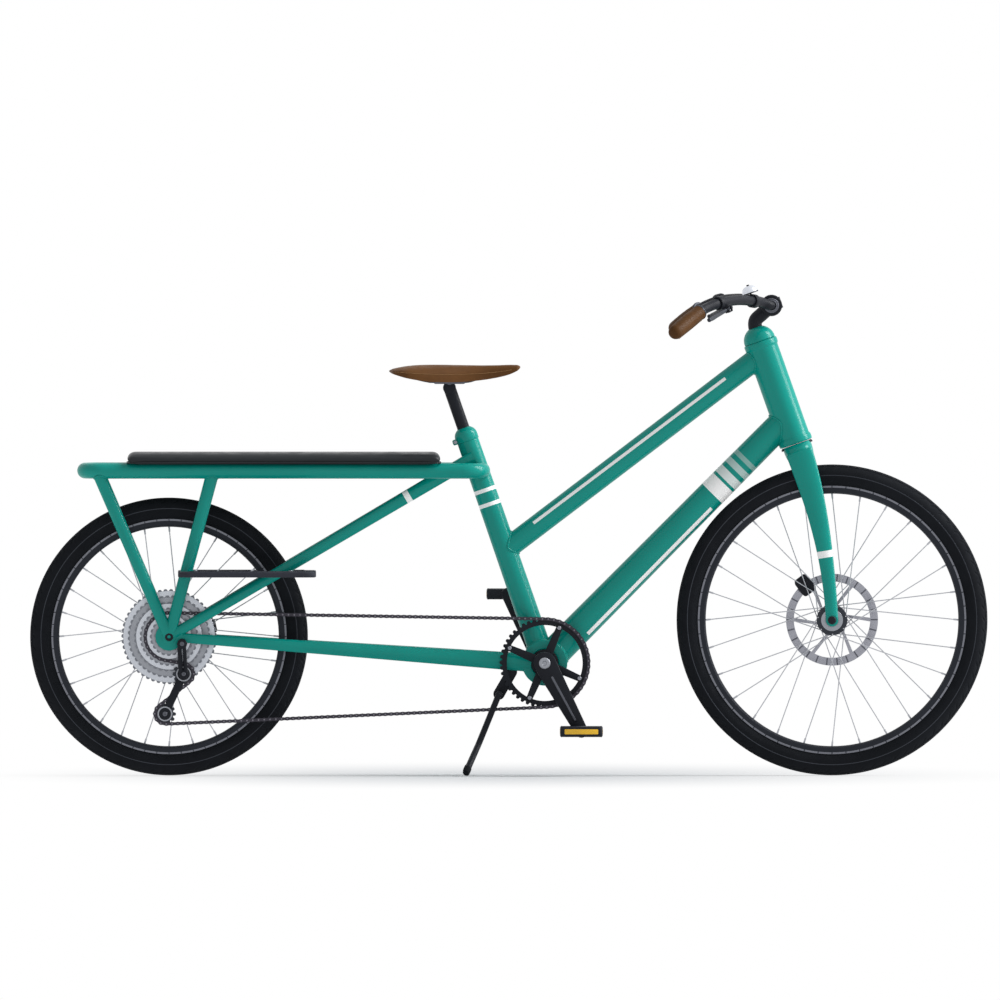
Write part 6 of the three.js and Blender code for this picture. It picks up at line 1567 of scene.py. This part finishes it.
    def cassette(self, phase: float) -> None:
        """The cassette: eight rings on a carrier, pale and dim in turn, each with its own row of darker teeth; the dim
        rings and the darker teeth are painted shade for the gaps between the sprockets.
        """
        body = "cassette_set"
        rings, rims = [], []
        for i, teeth in enumerate(self.sprockets):
            place = -(self.chain_line + (i - self.driven) * self.spacing)
            following = (*self.sprockets, 0)[i + 1]
            inner = max(self.pitch_radius(following) - 9, 17.6) if following > 14 else 17.6
            fall = 4.0 if i == self.driven else 2.6
            root = self.pitch_radius(teeth) - fall
            rings.append(collar(inner, root, place - 1.1, place + 1.1, 0.3, REAR, count=144))
            rims.append(self.tooth_ring(teeth, phase, root - 1.6, place, 1.8, REAR, 1.6, fall))
        pale = [*rings[::2], collar(17.6, 21, -30.6, -66, 0.6, REAR, count=56)]
        self.put("cassette_pale_rings", pale, Finishes.alloy, "cassette", body=body, sharp=30.0)
        # every second ring in the dimmer alloy, and the teeth darker: painted shade between the sprockets
        self.put("cassette_dim_rings", rings[1::2], Finishes.alloy_dark, body=body, sharp=30.0)
        self.put("cassette_teeth", rims, Finishes.teeth, body=body, sharp=30.0)
        arms = [plate([capsule(toward(angle) * 24, toward(angle + 0.35) * 78, 8, 4.5)], -34.4, -32.0, 0.5, REAR)
                for angle in lap(5) + 0.3]
        ring = collar(17.8, 20, -66.2, -68.4, 0.5, REAR, count=56)
        self.put("cassette_carrier", [*arms, ring], Finishes.graphite, body=body)

    def chainring(self, phase: float) -> None:
        """The chainring: a toothed ring, its inner edge thickened, and the four bolts on the spider's arms."""
        parts = [self.tooth_ring(self.chainring_teeth, phase, 84.0, -self.chain_line, 2.8, BRACKET),
                 collar(83.4, 87, -51.6, -48.4, 0.5, BRACKET, count=160)]
        self.put("chainring_toothed", parts, Finishes.satin, "chainring", body="crankset", sharp=30.0)
        heads = bolts(spun(BRACKET, 83.5, np.radians(self.spider_angles), -56.6), 4.4, 2.6, -ACROSS)
        self.put("chainring_bolts", heads, Finishes.steel, body="crankset")

    def crank_tip(self, side: float) -> Array:
        """The pedal's axis on a side, from the crank's axis, in the side view."""
        return -side * self.crank_length * toward(math.radians(self.crank_angle))

    def cranks(self) -> None:
        """Both crank arms: a rounded arm with a long groove, its spider or boss, the spindle and its cap."""
        for name, side in SIDES.items():
            tip = self.crank_tip(side)
            arm, rib = capsule((0, 0), tip, 25, 14.5, 22), capsule(tip * 0.20, tip * 0.84, 5.4, 4.4, 10)
            inlay = capsule(tip * 0.21, tip * 0.83, 2.6, 2.2, 10)
            parts = [plate([arm], side * 73.0, side * 86.2, 3.2, BRACKET),
                     plate([rib, inlay], side * 85.2, side * 87.0, 0.5, BRACKET)]
            strip = plate([inlay], side * 85.0, side * 86.7, 0.2, BRACKET)
            self.put(f"crank_{name}_inlay", strip, Finishes.cap, body="crankset")
            if side < 0:
                parts.append(collar(12, 25, -51.8, -74, 1.0, BRACKET))
                parts += [plate([capsule((0, 0), 83.0 * toward(angle), 10.5, 7)], -56.9, -51.8, 1.2, BRACKET)
                          for angle in np.radians(self.spider_angles)]
                parts.append(rods([BRACKET - ACROSS * 74], [BRACKET + ACROSS * 85], 12.0, 40))
            else:
                parts.append(collar(12.2, 20, 39, 74, 1.0, BRACKET, count=56))
            axle = BRACKET + [tip[0], 0, tip[1]]
            parts.append(rods([axle + ACROSS * side * 74], [axle + ACROSS * side * 178], 4.5, 24))
            self.put(f"crank_{name}_arm", parts, Finishes.satin, f"crank_{name}", body="crankset")
            cap = softened([(0, 85.4), (12.6, 85.4), (12.6, 88.2), (10.8, 89.4), (5, 89.4), (4.4, 87.2), (0, 87.2)],
                           0.6)
            cover = lathe(cap * [1, side], BRACKET, count=48)
            self.put(f"crank_{name}_cap", cover, Finishes.alloy_dark, body="crankset")

    def pedal(self, name: str, side: float) -> None:
        """A platform pedal: a frame with studs, a core, and amber reflectors.

        Args:
            name: the side's name.
            side: -1 for the right and 1 for the left.
        """
        tip, body = self.crank_tip(side), f"pedal_{name}_turn"
        origin = BRACKET + [tip[0], 0, tip[1]]
        inner, outer = self.pedal_ends
        basis = np.array([AHEAD, ACROSS * side, UP])
        windows = [rounded_box((low, inner + 11), (low + 26, outer - 11), 5) for low in (-38.5, 12.5)]
        rows = np.linspace(inner + 10, outer - 10, 6)
        spots = np.array([(x, y, z) for x in (-43.4, 43.4) for y in rows for z in (-11.2, 11.2)])
        ups = np.array([axes_for(UP * spot[2]) for spot in spots])
        stud = lathe(softened([(0, -1), (1.8, -1), (1.6, 0.6), (0, 0.8)], 0.3), axis=UP, count=12)
        parts = [plate([rounded_box((-47, inner), (47, outer), 9), *windows], -11.6, 11.6, 3.4, origin, basis),
                 collar(5.2, 9.5, side * (inner + 2), side * (outer - 2), 1.0, origin, count=36),
                 stud.repeated(spots @ basis + origin, ups)]
        self.put(f"pedal_{name}_body", parts, Finishes.pedal, f"pedal_{name}", body=body)
        face, end = rounded_box((inner + 11, -5.4), (outer - 11, 5.4), 2), rounded_box((-37, -5.6), (37, 5.6), 2)
        across = np.array([ACROSS * side, UP, AHEAD])
        strips = [plate([face], way * 46.2, way * 47.4, 0.4, origin, across) for way in (-1, 1)]
        strips.append(plate([end], side * (outer - 1.2), side * (outer + 0.3), 0.4, origin))
        self.put(f"pedal_{name}_reflectors", strips, Finishes.amber, body=body)

    def derailleur(self, phases: Row) -> None:
        """The derailleur: two knuckles joined by a parallelogram's links, a cage of two plates, and its pulleys."""
        upper = softened([(0, -81), (11, -81), (11, -94), (8, -96.5), (0, -96.5)], 1.6)
        lower = softened([(0, -57.6), (11, -57.6), (11, -73), (8.5, -75.2), (0, -75.2)], 1.6)
        parts = [lathe(upper, HANGER, count=48), lathe(lower, GUIDE, count=48)]
        for shift, thick in ((-6.0, 4.6), (5.0, 4.0)):
            line = np.linspace(HANGER + [shift, -88, -3], GUIDE + [shift, -68, 3], 6)
            parts.append(sweep(line, thick, 7.0, count=24, power=0.7, nose=(3, 3)))
        self.put("derailleur_knuckles", parts, Finishes.satin, "derailleur_body")
        heads = [bolts([HANGER - ACROSS * 96], 5.0, 2.6, -ACROSS), bolts([GUIDE - ACROSS * 74.8], 4.6, 2.4, -ACROSS)]
        self.put("derailleur_bolts", heads, Finishes.cap)
        bar = capsule(GUIDE[[0, 2]], TENSION[[0, 2]], 9.0, 8.4, 20)
        cage = [plate([bar], -50 + way * 5.6, -50 + way * 7.1, 0.4) for way in (-1, 1)]
        cage += [collar(3.2, 15.6, -55.6, -57.3, 0.3, centre, count=56) for centre in (GUIDE, TENSION)]
        rims = [collar(13.4, 16.4, -56.6, -57.8, 0.3, centre, count=56) for centre in (GUIDE, TENSION)]
        self.put("cage_rims", rims, Finishes.alloy_dark, body="cage")
        ends = np.array([GUIDE, TENSION])
        cage.append(rods(ends - ACROSS * 57.4, ends - ACROSS * 42.6, 2.9, 20))
        self.put("cage_plates", cage, Finishes.satin, "derailleur_cage", body="cage")
        self.put("cage_bolts", bolts([TENSION - ACROSS * 56.9], 5.4, 2.2, -ACROSS), Finishes.cap, body="cage")
        for phase, name, centre in ((phases[2], "tension", TENSION), (phases[3], "guide", GUIDE)):
            wheel = self.tooth_ring(self.pulley_teeth, phase, 3.6, -self.chain_line, 2.6, centre, 1.8)
            seal = collar(3.6, 9.5, -52.6, -47.4, 0.4, centre, count=40)
            body = f"{name}_pulley_turn"
            self.put(f"{name}_pulley_wheel", wheel, Finishes.graphite, f"{name}_pulley", body=body)
            self.put(f"{name}_pulley_seal", seal, Finishes.alloy_dark, body=body)


@dataclass
class SmallParts(Assembly):
    """Rear axle, rear caliper, and the centre stand with its bracket."""

    pivot: Triple = (-21.55, 0.0, 179.0)
    knee: Triple = (-65.11, 62.0, 71.6)
    toe: Triple = (-94.15, 135.0, 6.5)

    def build(self) -> None:
        """Builds the axle, the caliper and the stand."""
        head = softened([(0, 80.8), (9, 80.8), (9, 84.8), (7.2, 86.4), (4, 86.4), (3.4, 84), (0, 84)], 0.8)
        parts = [rods([REAR - ACROSS * 80], [REAR + ACROSS * 80], 5.9, 24),
                 *(lathe(head * [1, side], REAR, count=40) for side in SIDES.values())]
        self.put("rear_axle_rod", parts, Finishes.satin, "rear_axle")
        caliper = caliper_shape(REAR, 90.0, 13.0, 57.0, (-9.6, 10.0))
        self.put("rear_caliper_body", caliper, Finishes.satin, "rear_caliper")
        self.stand()

    def stand(self) -> None:
        """The stand: a bracket of two cheeks, a cross tube and two round legs with a bend and rubber feet."""
        pivot = np.array(self.pivot)
        eye, head = pivot[[0, 2]], BRACKET[[0, 2]] - [72.5, 20]
        outline = [capsule(eye, head, 12.5, 12, 18), circle(7.5, 28, eye)]
        parts = [plate(outline, side * 25.6, side * 31.8, 1.4) for side in SIDES.values()]
        foot = rounded_box((-13, -31.8), (13, 31.8), 5)
        parts.append(plate([foot], -2.5, 2.5, 1.2, (head[0] + 1, 0, head[1] + 8.5), FLAT))
        self.put("stand_cheeks", parts, Finishes.satin, "stand_bracket")
        legs, feet = [], []
        for side in SIDES.values():
            hip = pivot + ACROSS * side * 62
            knee, toe = (np.array(place) * [1, side, 1] for place in (self.knee, self.toe))
            bend = through([hip, hip * 0.5 + knee * 0.5, knee * 0.86 + hip * 0.14,
                            knee * 0.97 + toe * 0.03 + [0, side * 1.5, 0], knee * 0.82 + toe * 0.18,
                            toe * 0.6 + knee * 0.4, toe], 44)
            legs.append(sweep(bend, 6.5, hint=AHEAD, count=28, nose=(5, 0)))
            way = unit(toe - knee)
            shoe = sweep(toe - np.outer([16, 8, 0.5], way), [7.8, 8.0, 7.6], hint=AHEAD, count=28, nose=(1.2, 3.0))
            shoe.points[:, 2] = np.maximum(shoe.points[:, 2], 0.3)
            feet.append(shoe)
        legs.append(collar(0, 7.4, -66, 66, 1.6, pivot, count=40))
        self.put("stand_legs", legs, Finishes.satin, "centre_stand", body="stand")
        self.put("stand_feet", feet, Finishes.tyre, body="stand")


@dataclass
class Studio:
    """The floor, the lamps, the world and the camera."""

    view_width: float = 2.2
    aim: Triple = (-0.0194, 0.0, 0.6057)
    elevation: float = 0.8
    far: float = 6.0
    floor_size: float = 30.0
    floor_drop: float = 0.0006
    # how quickly the floor's painted shadow, its grey under the bicycle, fades to white along x and y
    fade: Triple = (0.8, 0.42, 0.0)
    suns: tuple[tuple[str, float, float, Triple], ...] = (
        ("top", 1.5, 0.44, (0.0, 0.70, -0.71)), ("left", 1.1, 0.44, (0.46, 0.71, -0.53)),
        ("right", 0.85, 0.44, (-0.66, 0.71, -0.24)), ("back", 0.8, 0.8, (0.1, -0.8, -0.5)))

    def build(self) -> None:
        """Sets up the studio."""
        for make in (self.floor, self.lamps, self.world, self.camera):
            make()
        bpy.context.scene.view_settings.view_transform = "Standard"

    def floor(self) -> None:
        """A wide floor whose own colour is a painted shadow: grey under the bicycle, fading to plain white away from
        it.
        """
        mesh = bpy.data.meshes.new("studio_floor")
        corners = [(x * self.floor_size, y * self.floor_size, -self.floor_drop)
                   for x, y in ((-1, -1), (1, -1), (1, 1), (-1, 1))]
        mesh.from_pydata(corners, [], [(0, 1, 2, 3)])
        floor = in_scene("studio_floor", mesh)
        material = bpy.data.materials.new("floor_painted_shadow")
        nodes = Nodes(material)
        # the grey base colour is a painted shadow under the bicycle; further out the floor shows plain white emission
        pale = nodes.known("Principled BSDF", {"Base Color": (0.62, 0.632, 0.648, 1), "Roughness": 0.9,
                                               "Specular IOR Level": 0.1})
        off = nodes.vector("LENGTH", nodes.vector("MULTIPLY", nodes.node("TexCoord").outputs["Object"], self.fade))
        spread = nodes.node("MapRange", {"Value": off}, interpolation_type="SMOOTHSTEP")
        inputs = {0: spread.outputs[0], 1: pale.outputs[0], 2: nodes.node("Emission").outputs[0]}
        nodes.known("Material Output", {"Surface": nodes.node("MixShader", inputs).outputs[0]})
        mesh.materials.append(material)

    def lamps(self) -> None:
        """Three soft lamps in front, from above and from either side, so that each way a tube runs it carries a
        lighter line, and one from behind."""
        for name, energy, angle, way in self.suns:
            lamp = bpy.data.lights.new(name, "SUN")
            lamp.energy, lamp.angle = energy, angle
            matrix = np.eye(4)
            matrix[:3, :3] = axes_for(-np.array(way)).T
            in_scene(name, lamp).matrix_world = matrix.tolist()

    def world(self) -> None:
        """A plain white world that lights softly and shows white to the camera and in reflections."""
        world = bpy.data.worlds.new("pale_world")
        nodes = Nodes(world)
        light = nodes.known("Background", {"Color": (0.98, 0.99, 1, 1), "Strength": 0.4})
        shown = nodes.node("Background", {"Color": (1, 1, 1, 1), "Strength": 1.0})
        rays = nodes.node("LightPath").outputs
        seen = nodes.math("MAXIMUM", rays["Is Camera Ray"], rays["Is Glossy Ray"])
        seen = nodes.math("MAXIMUM", seen, rays["Is Transmission Ray"])
        mix = nodes.node("MixShader", {0: seen, 1: light.outputs[0], 2: shown.outputs[0]})
        nodes.known("World Output", {"Surface": mix.outputs[0]})
        bpy.context.scene.world = world

    def camera(self) -> None:
        """A camera without perspective that looks along +Y, a little down."""
        data = bpy.data.cameras.new("side_camera")
        data.type, data.ortho_scale = "ORTHO", self.view_width
        holder = in_scene("side_camera", data)
        tilt = math.radians(self.elevation)
        holder.location = tuple(self.aim + self.far * np.array([0, -math.cos(tilt), math.sin(tilt)]))
        holder.rotation_euler = (math.pi / 2 - tilt, 0, 0)
        bpy.context.scene.camera = holder


def main() -> None:
    """Builds the studio and every sub-assembly, and dresses what still shows of the solids."""
    logging.basicConfig(level=logging.INFO, format="%(name)s: %(message)s")
    Studio().build()
    shop = Workshop()
    rear = Wheel(shop, "rear", REAR, 305.5, 142.0, 29.0, (-25.0, 30.0), 90.0, 57.0, 74, Finishes.alloy)
    front = Wheel(shop, "front", FRONT, 342.0, 100.0, 34.0, (-24.0, 24.0), 101.5, 37.0, 82, Finishes.graphite)
    for part in (MainFrame(shop), CargoDeck(shop), rear, front, Steering(shop), Seat(shop), DriveTrain(shop),
                 SmallParts(shop)):
        part.build()
    shop.dress_rest(Finishes.by_slot())
    log.info("%d pieces", shop.count)


if __name__ == "__main__":
    main()
